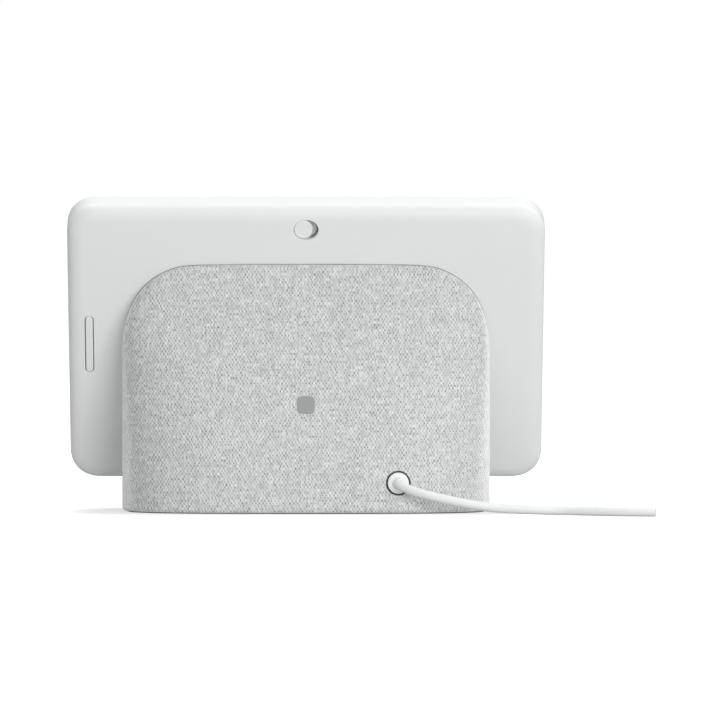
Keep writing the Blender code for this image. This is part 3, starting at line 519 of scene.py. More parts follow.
# ---------------------------------------------------------------- mesh helpers: millimetres in, metres out
def make(name, points, faces, mat, matrix=None, uv=None, layer="cloth", sharp=35.0):
    """points (n, 3) in millimetres in the frame that matrix takes to the row's; uv is one pair per point, in metres."""
    mesh = bpy.data.meshes.new(name)
    mesh.from_pydata([tuple(map(float, p)) for p in points], [], [tuple(map(int, f)) for f in faces])
    if uv is not None:
        l = mesh.uv_layers.new(name=layer)
        index = np.zeros(len(mesh.loops), np.int32)
        mesh.loops.foreach_get("vertex_index", index)
        l.data.foreach_set("uv", np.asarray(uv, np.float32)[index].ravel())
    mesh.transform(Matrix.Scale(MM, 4) @ (matrix or Matrix.Identity(4)))
    bm = bmesh.new()
    bm.from_mesh(mesh)
    bmesh.ops.remove_doubles(bm, verts=bm.verts, dist=1e-7)
    bm.normal_update()
    bmesh.ops.recalc_face_normals(bm, faces=bm.faces)
    bm.to_mesh(mesh)
    bm.free()
    mesh.shade_smooth()
    mesh.set_sharp_from_angle(angle=math.radians(sharp))
    obj = bpy.data.objects.new(name, mesh)
    scene.collection.objects.link(obj)
    if mat is not None:
        mesh.materials.append(mat)
    return obj


def strip(n_rings, n, closed=True, cap_start=False, cap_end=False):
    """Quads of a lofted grid of n_rings rings of n points."""
    faces = []
    m = n if closed else n - 1
    for a in range(n_rings - 1):
        for i in range(m):
            j = (i + 1) % n
            faces.append((a * n + i, a * n + j, (a + 1) * n + j, (a + 1) * n + i))
    if cap_start:
        faces.append(tuple(range(n - 1, -1, -1)))
    if cap_end:
        faces.append(tuple(range((n_rings - 1) * n, n_rings * n)))
    return faces


def loft(name, rings, mat, matrix=None, caps=(True, True), sharp=35.0):
    n = len(rings[0])
    points = [p for ring in rings for p in ring]
    return make(name, points, strip(len(rings), n, True, *caps), mat, matrix, sharp=sharp)


def lathe(name, profile, mat, matrix=None, n=96, sharp=35.0):
    """(radius, height) turned about z. Radius 0 ends in a pole."""
    points, rows = [], []
    for r, h in profile:
        if r == 0:
            rows.append([len(points)])
            points.append((0, 0, h))
        else:
            rows.append(list(range(len(points), len(points) + n)))
            points += [
                (r * math.cos(2 * math.pi * k / n), r * math.sin(2 * math.pi * k / n), h)
                for k in range(n)
            ]
    faces = []
    closed = all(r > 0 for r, _ in profile)
    pairs = list(zip(rows, rows[1:])) + ([(rows[-1], rows[0])] if closed else [])
    for a, b in pairs:
        for i in range(n):
            j = (i + 1) % n
            if len(a) == 1 and len(b) == 1:
                break
            if len(a) == 1:
                faces.append((a[0], b[j], b[i]))
            elif len(b) == 1:
                faces.append((a[i], a[j], b[0]))
            else:
                faces.append((a[i], a[j], b[j], b[i]))
    return make(name, points, faces, mat, matrix, sharp=sharp)


def arc(cx, cy, r, a0, a1, steps, ry=None):
    """Points on an arc, angles in degrees."""
    ry = r if ry is None else ry
    return [
        (
            cx + r * math.cos(math.radians(a0 + (a1 - a0) * k / steps)),
            cy + ry * math.sin(math.radians(a0 + (a1 - a0) * k / steps)),
        )
        for k in range(steps + 1)
    ]


def carve(obj, cutters, operation="DIFFERENCE"):
    """Applies exact Booleans, then removes the cutters."""
    for c in cutters:
        m = obj.modifiers.new("cut", "BOOLEAN")
        m.operation = operation
        m.object = c
        m.solver = "EXACT"
    bpy.context.view_layer.update()
    dg = bpy.context.evaluated_depsgraph_get()
    mesh = bpy.data.meshes.new_from_object(obj.evaluated_get(dg))
    old = obj.data
    obj.modifiers.clear()
    obj.data = mesh
    mesh.name = old.name
    bpy.data.meshes.remove(old)
    for c in cutters:
        bpy.data.objects.remove(c, do_unlink=True)
    return obj


def flatten_shading(obj, weight=80):
    """Normals that follow the large flat faces, so fillets shade cleanly beside them."""
    m = obj.modifiers.new("weighted", "WEIGHTED_NORMAL")
    m.mode = "FACE_AREA"
    m.weight = weight
    m.keep_sharp = True
    bpy.context.view_layer.update()
    dg = bpy.context.evaluated_depsgraph_get()
    mesh = bpy.data.meshes.new_from_object(obj.evaluated_get(dg))
    obj.modifiers.clear()
    obj.data = mesh
    return obj


def stadium(cx, cz, half_x, half_z, grow=0.0, n=24):
    """A pill outline in the xz plane, n points a quarter."""
    r = min(half_x, half_z)
    dx, dz = half_x - r, half_z - r
    r += grow
    pts = []
    for k in range(4 * n):
        a = 2 * math.pi * (k + 0.5) / (4 * n)
        sx, sz = math.copysign(1, math.cos(a)), math.copysign(1, math.sin(a))
        pts.append((cx + sx * dx + r * math.cos(a), cz + sz * dz + r * math.sin(a)))
    return pts


def outline(inset, steps=22):
    """The display's outline in its own xz plane, moved inward, with soft superellipse corners."""
    w, h, r = WIDTH / 2 - inset, SLAB / 2 - inset, max(CORNER - inset, 1.5)
    p = 2 / 2.25
    pts = []
    for quarter in range(4):
        for k in range(steps + 1):
            # even steps in angle along a superellipse bunch up at its ends, so the angle is eased
            a = math.pi / 2 * (quarter + k / steps)
            c, s = math.cos(a), math.sin(a)
            cx = math.copysign(abs(c) ** p, c) if abs(c) > 1e-9 else 0.0
            sz = math.copysign(abs(s) ** p, s) if abs(s) > 1e-9 else 0.0
            sx = 1 if quarter in (0, 3) else -1
            sv = 1 if quarter in (0, 1) else -1
            pts.append((sx * (w - r) + r * cx, SLAB / 2 + sv * (h - r) + r * sz))
    return pts


def ring(inset, y):
    return [(x, y, z) for x, z in outline(inset)]


# ---------------------------------------------------------------- rear cover
# The sides roll into the back over a wide soft curve, wider across than it is deep.
ROLL_W, ROLL_D, ROLL_POWER = 6.4, 5.0, 2.15


def roll(width, depth, top, steps, start_inset=0.0):
    """From the flat back outward and down: (inset, y) pairs on a superellipse."""
    p = 2 / ROLL_POWER
    out = []
    for k in range(steps + 1):
        a = math.pi / 2 * k / steps
        out.append(
            (
                start_inset + width * (1 - math.sin(a) ** p),
                top - depth * (1 - max(math.cos(a), 0.0) ** p),
            )
        )
    return out


profile = [(ROLL_W + 3.0, THICK)] + roll(ROLL_W, ROLL_D, THICK, 18)
profile += [(0.0, 3.0), (0.0, 0.45)]
profile += [(0.35 - 0.35 * math.cos(math.radians(a)), 0.35 - 0.35 * math.sin(math.radians(a))) for a in (20, 45, 70, 90)]
profile += [(0.62, 0.0), (0.80, 0.08), (RIM - 0.02, 0.24), (RIM, 0.40), (RIM, 1.4), (WALL, 1.4), (WALL, 6.0)]
inner = roll(ROLL_W - WALL, ROLL_D - WALL, THICK - WALL, 8, WALL)
profile += inner[::-1]
rear = loft("rear_cover_shell", [ring(i, y) for i, y in profile], shell_white, DISPLAY)


def mouth_cutter(name, shape, w_inside, w_face, lip):
    """A through cutter whose mouth flares like a small fillet at the face."""
    levels = [(0.0, w_inside)] + [(0.0, w_face - lip - 0.001)]
    levels += [
        (lip * (1 - math.cos(math.radians(a))), w_face - lip + lip * math.sin(math.radians(a)))
        for a in (15, 30, 45, 60, 75, 84)
    ]
    levels += [(lip * 1.02, w_face + 0.05), (lip * 1.02, w_face + 1.5)]
    return loft(name, [[(x, y, z) for x, z in shape(g)] for g, y in levels], None, DISPLAY)


def slot_shape(grow):
    return stadium(0, MUTE_V, 4.6, 4.02, grow)


def rocker_shape(grow):
    return stadium(ROCKER_X, ROCKER_V, ROCKER_W / 2 + 0.34, ROCKER_L / 2 + 0.20, grow, 12)


def box_cutter(lo, hi, matrix=None):
    pts = [(x, y, z) for z in (lo[2], hi[2]) for y in (lo[1], hi[1]) for x in (lo[0], hi[0])]
    faces = [(0, 1, 3, 2), (4, 6, 7, 5), (0, 4, 5, 1), (2, 3, 7, 6), (0, 2, 6, 4), (1, 5, 7, 3)]
    return make("box_cutter", pts, faces, None, matrix)


def pipe_cutter(x, v, r, y0, y1, n=32):
    circle = [(x + r * math.cos(2 * math.pi * k / n), v + r * math.sin(2 * math.pi * k / n)) for k in range(n)]
    return loft("pipe_cutter", [[(a, y, b) for a, b in circle] for y in (y0, y1)], None, DISPLAY)


carve(
    rear,
    [
        mouth_cutter("cut_slot", slot_shape, 8.0, THICK, 0.16),
        mouth_cutter("cut_rocker", rocker_shape, 8.0, THICK, 0.07),
        box_cutter((-15, 8, 31), (15, 16, 42), DISPLAY),
        pipe_cutter(-29, 43, 1.5, 8, 11.15),
        pipe_cutter(29, 43, 1.5, 8, 11.15),
    ],
)
rear.data.shade_smooth()
rear.data.set_sharp_from_angle(angle=math.radians(34))
flatten_shading(rear)
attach(rear, "housing")
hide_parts("rear_cover")


# ---------------------------------------------------------------- cover glass
glass_profile = [(3.0, 0.1)] + [
    (1.12 + 0.28 * (1 - math.sin(math.radians(a))), 0.1 + 0.28 * (1 - math.cos(math.radians(a))))
    for a in (0, 15, 30, 45, 60, 75, 90)
]
glass_profile += [(1.12, 1.05), (1.27, 1.2), (3.0, 1.2)]
glass_rings = [ring(i, y) for i, y in glass_profile]
glass_points = [p for r_ in glass_rings for p in r_]
glass = make(
    "screen_glass_sheet",
    glass_points,
    strip(len(glass_rings), len(glass_rings[0]), True, True, True),
    screen_glass_mat,
    DISPLAY,
    uv=[(x * MM, (z - SLAB / 2) * MM) for x, _, z in glass_points],
    layer="face",
)
carve(glass, [pipe_cutter(x, 110.0, 0.55, -1, 1.35, 24) for x in (-31.0, 31.0)])
glass.data.shade_smooth()
glass.data.set_sharp_from_angle(angle=math.radians(30))
flatten_shading(glass)
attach(glass, "housing")
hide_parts("cover_glass")

# ---------------------------------------------------------------- mute knob: a dished thumb disc
KNOB_R, KNOB_X, KNOB_TALL = 3.45, KNOB.x, 1.1
knob_profile = [(0, 9.1), (KNOB_R - 0.3, 9.1)]
knob_profile += [(KNOB_R, 9.3), (KNOB_R, 10.42)]
knob_profile += arc(KNOB_R - 0.34, 10.42, 0.34, 0, 90, 7, 0.36)[1:]
knob_profile += [(KNOB_R - 0.62, 10.775), (KNOB_R - 0.95, 10.74), (KNOB_R - 1.4, 10.68), (1.3, 10.63), (0.6, 10.615), (0, 10.61)]
knob_obj = lathe(
    "mute_knob_disc",
    knob_profile,
    knob_white,
    DISPLAY
    @ Matrix.Translation((KNOB_X, 0, MUTE_V))
    @ Matrix.Rotation(-math.pi / 2, 4, "X")
    @ Matrix.Diagonal((1, KNOB_TALL, 1, 1)),
    n=96,
)
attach(knob_obj, "mute_slider")
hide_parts("mute_knob")

# ---------------------------------------------------------------- volume rocker: a long, slightly crowned pill
def rocker_ring(grow, y):
    pts = stadium(0, 0, ROCKER_W / 2, ROCKER_L / 2, grow, 16)
    return [(x, y - PIN_W, z) for x, z in pts]


top = 11.12
levels = [(-0.25, 8.9), (0.0, 9.15), (0.0, top - 0.30)]
levels += [(-0.28 * (1 - math.cos(math.radians(a))), top - 0.30 + 0.26 * math.sin(math.radians(a))) for a in (15, 30, 45, 60, 75)]
levels += [(-0.30, top - 0.038), (-0.5, top - 0.02), (-0.8, top - 0.005), (-1.1, top)]
rocker = loft(
    "volume_rocker_pill",
    [rocker_ring(g, y) for g, y in levels],
    shell_white,
    DISPLAY @ Matrix.Translation((ROCKER_X, PIN_W, ROCKER_V)),
)
rocker_hidden = []
for lo, hi in (
    ((-2.1, 0.6, -11.9), (2.1, 1.0, 11.9)),
    ((-0.8, 0.2, -9.5), (0.8, 1.3, -7.9)),
    ((-0.8, 0.2, 7.9), (0.8, 1.3, 9.5)),
    ((-1.0, -0.95, -1.1), (1.0, 1.3, 1.1)),
):
    rocker_hidden.append(box_cutter(lo, hi, DISPLAY @ Matrix.Translation((ROCKER_X, PIN_W, ROCKER_V))))
carve(rocker, rocker_hidden, "UNION")
bore = loft(
    "bore",
    [[(x, 0.6 * math.sin(2 * math.pi * k / 24), 0.6 * math.cos(2 * math.pi * k / 24)) for k in range(24)] for x in (-3, 3)],
    None,
    DISPLAY @ Matrix.Translation((ROCKER_X, PIN_W, ROCKER_V)),
)
carve(rocker, [bore])
rocker.data.shade_smooth()
rocker.data.set_sharp_from_angle(angle=math.radians(34))
flatten_shading(rocker)
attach(rocker, "volume_rocker")
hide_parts("volume_rocker")


# ---------------------------------------------------------------- base: fabric
CROWN, REACH = 0.30, 0.15


def seam(offset):
    return SEAM_Z + REACH - 1.53 * offset, SEAM_Y - 0.71 * offset


def half_width(z, offset=0.0):
    top_z, _ = seam(offset)
    half = BASE_HALF_W - offset
    if z > ARCH_Z:
        t = min((z - ARCH_Z) / (top_z - ARCH_Z), 1.0)
        half += (ARCH_W - offset) * ((1 - t**ARCH_POWER) ** (1 / ARCH_POWER) - 1)
    return half


def section(z, offset, n):
    """The base's level section at height z, moved inward by offset. The first point is the front's middle."""
    top_z, top_y = seam(offset)
    half = half_width(z, offset)
    centre = top_y * (min(max(z, 0.0), top_z) / top_z) ** 3
    rear_d = max(BASE_HALF_D - 1.02 * offset - REAR_SLOPE * z - centre, 0.2)
    # the cloth stands a little proud where it turns in against the display
    t = min(max((z - 55.0) / (SEAM_Z - 55.0), 0.0), 1.0)
    rear_d += CROWN * t * t * (3 - 2 * t)
    front_d = BASE_HALF_D - offset + centre
    p = 2 / BASE_POWER
    pts = []
    for k in range(n):
        # spacing that is even along the outline: more points go to the tight ends
        a = -math.pi / 2 + 2 * math.pi * k / n
        a += 0.16 * math.sin(2 * (a + math.pi / 2)) * -1
        c, s = math.cos(a), math.sin(a)
        x = half * math.copysign(abs(c) ** p, c)
        y = centre + (rear_d if s > 0 else front_d) * math.copysign(abs(s) ** p, s)
        pts.append((x, y, z))
    return pts


def fabric_skin(name, n=300):
    """The open outer skin: tucked under at the bottom, up the sides, over the arch."""
    z0, tuck = 0.34, 1.6
    rings, run, last = [], [], 0.0
    # under the bottom edge, from the inside outward
    for inward in (4.2, 3.2):
        rings.append(section(z0, inward, n))
    for k in range(9):
        a = math.pi / 2 * k / 8
        rings.append(section(z0 + tuck * (1 - math.cos(a)), tuck * (1 - math.sin(a)), n))
    zs = list(np.linspace(z0 + tuck + 0.9, ARCH_Z, 26))
    height = SEAM_Z + REACH - ARCH_Z
    zs += [ARCH_Z + height * math.sin(math.pi / 2 * k / 34) for k in range(1, 34)]
    zs += [ARCH_Z + height * f for f in (0.9993, 1.0)]
    for z in zs:
        rings.append(section(z, 0.0, n))
    rings.append([(x, y, SEAM_Z + REACH + 0.6) for x, y, _ in rings[-1]])
    # cloth coordinates: across is the distance from the rear's middle, up is the distance along the rear's middle
    points, uv = [], []
    mid = n // 2
    for i, r_ in enumerate(rings):
        p = np.array(r_)
        if i:
            last += float(np.linalg.norm(p[mid] - np.array(rings[i - 1][mid])))
        step = np.linalg.norm(np.diff(p, axis=0), axis=1)
        s = np.concatenate([[0], np.cumsum(step)])
        s -= s[mid]
        points += [tuple(q) for q in p]
        uv += [(-d * MM, last * MM) for d in s]
    obj = make(name, points, strip(len(rings), n), knit_fabric, uv=uv)
    # where the loop closes at the front's middle, the cloth coordinates carry on past the join
    mesh = obj.data
    coords = mesh.uv_layers["cloth"].data
    for face in mesh.polygons:
        loops = list(face.loop_indices)
        across = [coords[i].uv.x for i in loops]
        if max(across) - min(across) < 0.05:
            continue
        low = [i for i in loops if coords[i].uv.x < 0]
        for i in loops:
            if coords[i].uv.x > 0:
                beside = min(low, key=lambda j: abs(coords[j].uv.y - coords[i].uv.y))
                a, b = (mesh.vertices[mesh.loops[k].vertex_index].co for k in (i, beside))
                coords[i].uv.x = coords[beside].uv.x - (a - b).length
    return obj


fabric = fabric_skin("fabric_sock")
GAP, LIP, CLOTH = 0.40, 0.15, 0.5
# Cut just short of the display's back, then roll the cut edge in to meet it.
plane_no = DISPLAY.to_3x3() @ Vector((0, 1, 0))
plane_co = DISPLAY @ Vector((0, THICK + GAP + LIP, 0)) * MM
bm = bmesh.new()
bm.from_mesh(fabric.data)
cut = bmesh.ops.bisect_plane(
    bm,
    geom=bm.verts[:] + bm.edges[:] + bm.faces[:],
    dist=1e-7,
    plane_co=plane_co,
    plane_no=plane_no,
    clear_inner=True,
)
bmesh.ops.remove_doubles(bm, verts=bm.verts, dist=2e-6)
# drop crumbs that the cut leaves unattached
islands, seen = [], set()
for f in bm.faces:
    if f in seen:
        continue
    stack, isle = [f], []
    seen.add(f)
    while stack:
        g = stack.pop()
        isle.append(g)
        for e in g.edges:
            for h in e.link_faces:
                if h not in seen:
                    seen.add(h)
                    stack.append(h)
    islands.append(isle)
islands.sort(key=len)
for isle in islands[:-1]:
    bmesh.ops.delete(bm, geom=isle, context="FACES")
rim = [
    e
    for e in bm.edges
    if len(e.link_faces) == 1
    and all(abs((v.co - plane_co).dot(plane_no)) < 2e-6 for v in e.verts)
]
# the cut edge's points in order, for the seam strip
next_of = {}
for e in rim:
    for v, w in (e.verts, reversed(e.verts)):
        next_of.setdefault(v, []).append(w)
start = min(next_of, key=lambda v: (round(v.co.x, 7), round(v.co.z, 7)))
order, last_v = [start], None
while True:
    options = [w for w in next_of[order[-1]] if w is not last_v]
    if not options or options[0] is start or len(order) > 5000:
        break
    last_v = order[-1]
    order.append(options[0])
RIM_LOOP = [v.co.copy() for v in order]
centre_in_plane = Vector((0, 0, 0))
for e in rim:
    for v in e.verts:
        centre_in_plane += v.co
centre_in_plane /= 2 * len(rim)
base_in = {}
for e in rim:
    for v in e.verts:
        if v not in base_in:
            # inward, in the cut plane, square to the surface it leaves
            nrm = v.normal - plane_no * v.normal.dot(plane_no)
            base_in[v] = -nrm.normalized()
steps = 5
current = {v: v for v in base_in}
edges_now = rim
rest = {v: v.co.copy() for v in base_in}
origin = {v: v for v in base_in}
for k in range(1, steps + 2):
    out = bmesh.ops.extrude_edge_only(bm, edges=edges_now)
    new_edges = [g for g in out["geom"] if isinstance(g, bmesh.types.BMEdge)]
    new_verts = [g for g in out["geom"] if isinstance(g, bmesh.types.BMVert)]
    moved = {}
    for v in new_verts:
        best = None
        for e in v.link_edges:
            o = e.other_vert(v)
            if o in origin:
                best = o
        if best is None:
            continue
        root = origin[best]
        if k <= steps:
            a = math.pi / 2 * k / steps
            v.co = (
                rest[root]
                + base_in[root] * (LIP * (1 - math.cos(a)) * MM)
                - plane_no * (LIP * math.sin(a) * MM)
            )
        else:
            v.co = rest[root] + base_in[root] * ((LIP + 0.7) * MM) - plane_no * (LIP * MM)
        moved[v] = root
    origin = moved
    edges_now = [e for e in new_edges if all(v in moved for v in e.verts)]
uvl = bm.loops.layers.uv["cloth"]
bmesh.ops.recalc_face_normals(bm, faces=bm.faces)
bm.normal_update()
# the new lip's cloth coordinates carry on from the vertex it grew from
for f in bm.faces:
    for l in f.loops:
        if l[uvl].uv.length < 1e-12:
            l[uvl].uv = l.link_loop_prev[uvl].uv
bm.to_mesh(fabric.data)
bm.free()
# make sure the skin faces out
if sum(p.normal.y * p.area for p in fabric.data.polygons if p.center.y > 0.012) < 0:
    fabric.data.flip_normals()
fabric.data.shade_smooth()
solid = fabric.modifiers.new("cloth_thickness", "SOLIDIFY")
solid.thickness = CLOTH * MM
solid.offset = -1.0
solid.use_even_offset = False
socket_hole = lathe(
    "socket_hole",
    [(0, -9), (4.62, -9), (4.62, 6), (0, 6)],
    None,
    Matrix.Translation((JACK_X, PLUG_FACE_Y - 1.1, JACK_Z)) @ Matrix.Rotation(-math.pi / 2, 4, "X"),
    n=72,
)
carve(fabric, [socket_hole])
fabric.data.shade_smooth()
fabric.data.set_sharp_from_angle(angle=math.radians(50))
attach(fabric, "housing")
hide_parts("fabric_cover")


# ---------------------------------------------------------------- seam strip: a thin grey bead where the cloth meets the display's back; its grey is painted shade, standing in for the shadow in that crease
SEAM_OUT, SEAM_TALL = 0.20, 0.32
flat = DISPLAY.inverted()
loop_mm = [flat @ (p / MM) for p in RIM_LOOP]
loop_xv = np.array([(p.x, p.z) for p in loop_mm])
ahead, behind = np.roll(loop_xv, -1, axis=0), np.roll(loop_xv, 1, axis=0)
along = ahead - behind
along /= np.linalg.norm(along, axis=1)[:, None]
square = np.stack([along[:, 1], -along[:, 0]], 1)
if float(((loop_xv - loop_xv.mean(0)) * square).sum()) < 0:
    square = -square


def seam_ring(grow, y):
    return [(x, y, z) for x, z in loop_xv + square * grow]


bead = [(-0.9, THICK + SEAM_TALL - 0.03), (SEAM_OUT - 0.16, THICK + SEAM_TALL)]
bead += [
    (SEAM_OUT - 0.16 + 0.16 * math.sin(math.radians(a)), THICK + SEAM_TALL - 0.16 * (1 - math.cos(math.radians(a))))
    for a in (30, 60, 90)
]
bead += [(SEAM_OUT, THICK - 0.02), (-0.9, THICK - 0.02)]
bead_rings = [seam_ring(g, y) for g, y in bead]
n_loop = len(loop_xv)
bead_points = [p for r_ in bead_rings for p in r_]
bead_faces = strip(len(bead_rings), n_loop) + [
    ((len(bead_rings) - 1) * n_loop + i, (len(bead_rings) - 1) * n_loop + (i + 1) % n_loop, (i + 1) % n_loop, i)
    for i in range(n_loop)
]
seam_bead_painted_shade = make("seam_bead_painted_shade", bead_points, bead_faces, seam_grey_painted_shade, DISPLAY)
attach(seam_bead_painted_shade, "housing")

# ---------------------------------------------------------------- underside
def pad_rings(offset, z0, z1, edge, n=220):
    rings = [section(0, offset + edge + 3.0, n), section(0, offset + edge, n)]
    rings = [[(x, y, z0) for x, y, _ in r_] for r_ in rings]
    for k in range(1, 6):
        a = math.pi / 2 * k / 5
        rings.append([(x, y, z0 + edge * (1 - math.cos(a))) for x, y, _ in section(0, offset + edge * (1 - math.sin(a)), n)])
    rings.append([(x, y, z1) for x, y, _ in section(0, offset, n)])
    return rings


foot = loft("rubber_foot_pad", pad_rings(1.9, 0.0, 1.5, 0.2), foot_rubber)
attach(foot, "housing")
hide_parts("rubber_foot")

# ---------------------------------------------------------------- power plug and cable
SOCKET = Matrix.Translation((JACK_X, PLUG_FACE_Y - 1.1, JACK_Z)) @ Matrix.Rotation(-math.pi / 2, 4, "X")
plug_profile = [(0, -7.2), (PLUG_R - 0.3, -7.2), (PLUG_R, -6.9), (PLUG_R, 0.35)]
plug_profile += arc(PLUG_R - 0.62, 0.35, 0.62, 0, 80, 8, 0.62)[1:]
plug_profile += [(PLUG_R - 0.8, 1.0), (PLUG_R - 1.3, 1.035), (2.2, 1.06), (1.2, 1.08), (0, 1.09)]
plug = lathe("plug_moulding", plug_profile, plug_white, SOCKET, n=96)
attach(plug, "power_lead")
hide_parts("plug_body")

CABLE_R = 1.7
CABLE_PATH = [
    (JACK_X - 0.02, PLUG_FACE_Y + 0.02, JACK_Z - 0.02),
    (JACK_X - 0.2, PLUG_FACE_Y + 1.5, JACK_Z - 0.12),
    (JACK_X - 1.3, PLUG_FACE_Y + 3.5, JACK_Z - 0.75),
    (-38.8, 28.8, 9.1),
    (-44.2, 31.0, 7.65),
    (-49.8, 32.0, 6.25),
    (-57.2, 32.5, 4.75),
    (-64.6, 32.5, 3.5),
    (-72.0, 32.0, 2.6),
    (-83.0, 31.4, 2.05),
    (-94.3, 31.0, 1.72),
    (-105.0, 34.8, 1.7),
    (-116.1, 38.8, 1.7),
    (-129.2, 41.0, 1.7),
]


def smooth_path(points, per):
    p = [points[0], *points, points[-1]]
    out = []
    for k in range(1, len(p) - 2):
        for j in range(per):
            t = j / per
            out.append(
                tuple(
                    0.5
                    * (
                        2 * p[k][i]
                        + (p[k + 1][i] - p[k - 1][i]) * t
                        + (2 * p[k - 1][i] - 5 * p[k][i] + 4 * p[k + 1][i] - p[k + 2][i]) * t * t
                        + (3 * p[k][i] - p[k - 1][i] - 3 * p[k + 1][i] + p[k + 2][i]) * t**3
                    )
                    for i in range(3)
                )
            )
    return out + [points[-1]]


def sweep(name, path, radius_at, mat, n=40):
    """A round tube along a path, with a frame that never twists."""
    pts = [Vector(p) for p in path]
    rings, length = [], 0.0
    up = Vector((0, 0, 1))
    side = None
    for k, p in enumerate(pts):
        if k:
            length += (p - pts[k - 1]).length
        t = (pts[min(k + 1, len(pts) - 1)] - pts[max(k - 1, 0)]).normalized()
        side = t.cross(up).normalized() if side is None else (side - t * side.dot(t)).normalized()
        top_ = side.cross(t).normalized()
        r = radius_at(length)
        rings.append(
            [
                tuple(p + side * (r * math.cos(2 * math.pi * i / n)) + top_ * (r * math.sin(2 * math.pi * i / n)))
                for i in range(n)
            ]
        )
    return rings


def flare(s):
    """The moulded root: wide where it leaves the plug, down to the cable within a few millimetres."""
    return CABLE_R + 0.40 * max(0.0, 1 - s / 1.8) ** 2.0 + 0.12 * max(0.0, 1 - s / 8.0) ** 1.5


cable_rings = sweep("cable", smooth_path(CABLE_PATH, 9), flare, cable_white)
# the far end is cut square, with a small break at its edge
end = np.array(cable_rings[-1])
mid_end = end.mean(0)
cable_rings[-1] = [tuple(q) for q in mid_end + (end - mid_end) * 0.93]
cable = loft("power_cable_jacket", cable_rings, cable_white)
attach(cable, "power_lead")
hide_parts("power_cable")

# ---------------------------------------------------------------- badge: a plain rounded tile
BADGE_Z = 40.25
BADGE = Matrix.Translation((0, BASE_HALF_D - REAR_SLOPE * BADGE_Z, BADGE_Z)) @ Matrix.Rotation(
    REAR_ANGLE - math.pi / 2, 4, "X"
)


def tile(r, h, n=96, power=4.0):
    p = 2 / power
    out = []
    for k in range(n):
        a = 2 * math.pi * (k + 0.5) / n
        c, s = math.cos(a), math.sin(a)
        out.append((r * math.copysign(abs(c) ** p, c), r * math.copysign(abs(s) ** p, s), h))
    return out


badge_rings = [tile(3.3, 0.02), tile(3.3, 0.24)]
badge_rings += [tile(3.3 - 0.14 * (1 - math.cos(math.radians(a))), 0.24 + 0.14 * math.sin(math.radians(a))) for a in (20, 40, 60, 80)]
badge_rings += [tile(3.1, 0.385), tile(2.4, 0.39)]
badge = loft("badge_tile", badge_rings, badge_grey, BADGE)
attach(badge, "housing")
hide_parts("badge")

# ---------------------------------------------------------------- stage
def stage_plane(name, size, z, mat):
    bpy.ops.mesh.primitive_plane_add(size=size, location=(0, 0, z))
    o = bpy.context.object
    o.name = name
    o.data.materials.append(mat)
    return o


def floor_material():
    """Pale sweep. Seen directly it is near white, with a painted shadow: its glow is turned down in a band along the
    near edge of the foot, and the real contact shadow shows through it; what it reflects is a duller grey.
    """
    n = Nodes("floor_pale")
    n.set(Base_Color=n.mix(n.noise(3, 2.0), rgb(0.343), rgb(0.357)), Roughness=0.6, Emission_Strength=FLOOR_FILL)
    n.bsdf.inputs["Specular IOR Level"].default_value = 0.1
    seen = n.new("ShaderNodeBsdfDiffuse")
    seen.inputs["Color"].default_value = rgb(FLOOR_SEEN)
    glow = n.new("ShaderNodeEmission")
    far = n.new("ShaderNodeVectorMath", operation="LENGTH")
    place = n.new("ShaderNodeTexCoord")
    n.put(far.inputs[0], place.outputs["Object"])
    at = n.new("ShaderNodeSeparateXYZ")
    n.put(at.inputs[0], place.outputs["Object"])
    # painted shadow: the glow is turned down in a rounded band along the near edge of the foot, so the floor there is
    # darker whatever the light; the real contact shadow shows through it
    along = n.math("POWER", n.math("DIVIDE", n.math("ABSOLUTE", at.outputs[0]), 0.0945), 4.0)
    deep = n.math("ABSOLUTE", n.math("SUBTRACT", at.outputs[1], 0.006))
    deep = n.math("POWER", n.math("DIVIDE", deep, 0.027), 4.0)
    painted_shadow_band = n.ramp(n.math("ADD", along, deep), 1.12, 0.42)
    level = n.ramp(painted_shadow_band, 0, 1, FLOOR_BEHIND, FLOOR_GLOW_IN_PAINTED_SHADOW, smooth=False)
    out = n.ramp(far.outputs["Value"], 0.14, 0.45)
    n.put(glow.inputs["Strength"], n.math("ADD", level, n.math("MULTIPLY", out, n.math("SUBTRACT", 1.0, level))))
    add = n.new("ShaderNodeAddShader")
    n.put(add.inputs[0], seen.outputs[0])
    n.put(add.inputs[1], glow.outputs[0])
    path = n.new("ShaderNodeLightPath")
    pick = n.new("ShaderNodeMixShader")
    n.put(pick.inputs[0], path.outputs["Is Camera Ray"])
    n.put(pick.inputs[1], n.bsdf.outputs[0])
    n.put(pick.inputs[2], add.outputs[0])
    n.put(n.out.inputs["Surface"], pick.outputs[0])
    return n.m


FLOOR_FILL = 0.151
# the floor's seen grey; its glow inside the painted shadow band; and its glow elsewhere near the object
FLOOR_SEEN, FLOOR_GLOW_IN_PAINTED_SHADOW, FLOOR_BEHIND = 0.36, 0.53, 0.90
floor = stage_plane("studio_floor", 24.0, 0.0, floor_material())

world = bpy.data.worlds.new("studio")
scene.world = world
world.use_nodes = True
wt = world.node_tree
wt.nodes.clear()
w_out = wt.nodes.new("ShaderNodeOutputWorld")
w_light = wt.nodes.new("ShaderNodeBackground")
w_seen = wt.nodes.new("ShaderNodeBackground")
w_mix = wt.nodes.new("ShaderNodeMixShader")
w_path = wt.nodes.new("ShaderNodeLightPath")
w_light.inputs["Color"].default_value = rgb(1.0)
w_light.inputs["Strength"].default_value = 0.374
w_seen.inputs["Color"].default_value = rgb(1.0)
w_seen.inputs["Strength"].default_value = 1.0
wt.links.new(w_path.outputs["Is Camera Ray"], w_mix.inputs[0])
wt.links.new(w_light.outputs[0], w_mix.inputs[1])
wt.links.new(w_seen.outputs[0], w_mix.inputs[2])
wt.links.new(w_mix.outputs[0], w_out.inputs["Surface"])


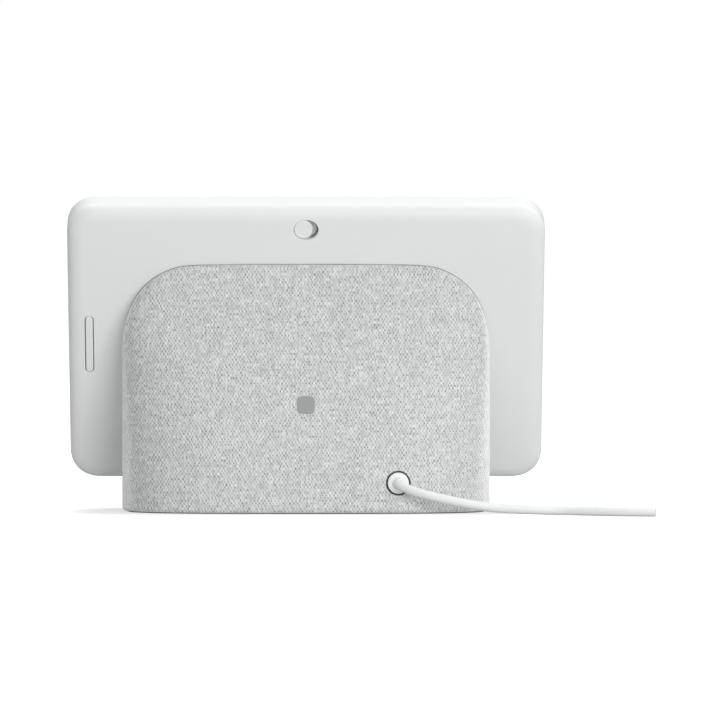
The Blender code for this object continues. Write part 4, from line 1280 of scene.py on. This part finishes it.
def softbox(name, turn, height, power, size=0.8, distance=1.5):
    """A square softbox aimed at the object: turn is degrees from the camera's side towards its right, height is degrees up."""
    p, e = math.radians(turn), math.radians(height)
    d = Vector((-math.sin(p) * math.cos(e), math.cos(p) * math.cos(e), math.sin(e)))
    data = bpy.data.lights.new(name, "AREA")
    data.shape = "SQUARE"
    data.size = size
    data.energy = power
    o = bpy.data.objects.new(name, data)
    o.location = Vector((0, 0, 0.06)) + d * distance
    o.rotation_mode = "QUATERNION"
    o.rotation_quaternion = (-d).to_track_quat("-Z", "Y")
    o.visible_camera = False
    scene.collection.objects.link(o)
    return o


softbox("beside_camera_right", 20, 12, 11.05)
softbox("beside_camera_left", -20, 12, 1.67)
softbox("under_camera", 0, 5, 0.40)
softbox("right_side", 90, 40, 5.60)
softbox("front_left_top", -120, 68, 6.60)
softbox("front_right_top", 120, 68, 4.10)
softbox("front_left", -140, 40, 1.01)
softbox("front_fill", 180, 22, 4.0)

scene.view_settings.view_transform = "Standard"
scene.view_settings.look = "None"
scene.view_settings.exposure = 0.0
scene.view_settings.gamma = 1.0

# ---------------------------------------------------------------- camera: straight behind, two degrees above level
cam_data = bpy.data.cameras.new("camera")
cam = bpy.data.objects.new("camera", cam_data)
scene.collection.objects.link(cam)
scene.camera = cam
cam_data.sensor_width = 36.0
cam_data.sensor_fit = "HORIZONTAL"
FOCAL_PX = 7177.7
cam_data.lens = FOCAL_PX / 720 * 36.0
DIST, ELEV = 2.688, math.radians(2.0)
TARGET = Vector((0, 0, 0.059))
cam.location = TARGET + Vector((0, DIST * math.cos(ELEV), DIST * math.sin(ELEV)))
cam_data.clip_start, cam_data.clip_end = 0.05, 60
# The object stands left of the picture's middle and a little above it.
LEFT_PX, UP_PX = 53.95, 6.93
look = Matrix.Rotation(math.pi, 4, "Z") @ Matrix.Rotation(math.pi / 2 - ELEV, 4, "X")
turn = Matrix.Rotation(-math.atan(LEFT_PX / FOCAL_PX), 4, "Y") @ Matrix.Rotation(-math.atan(UP_PX / FOCAL_PX), 4, "X")
cam.rotation_mode = "QUATERNION"
cam.rotation_quaternion = (look @ turn).to_quaternion()

bpy.context.view_layer.update()
import json
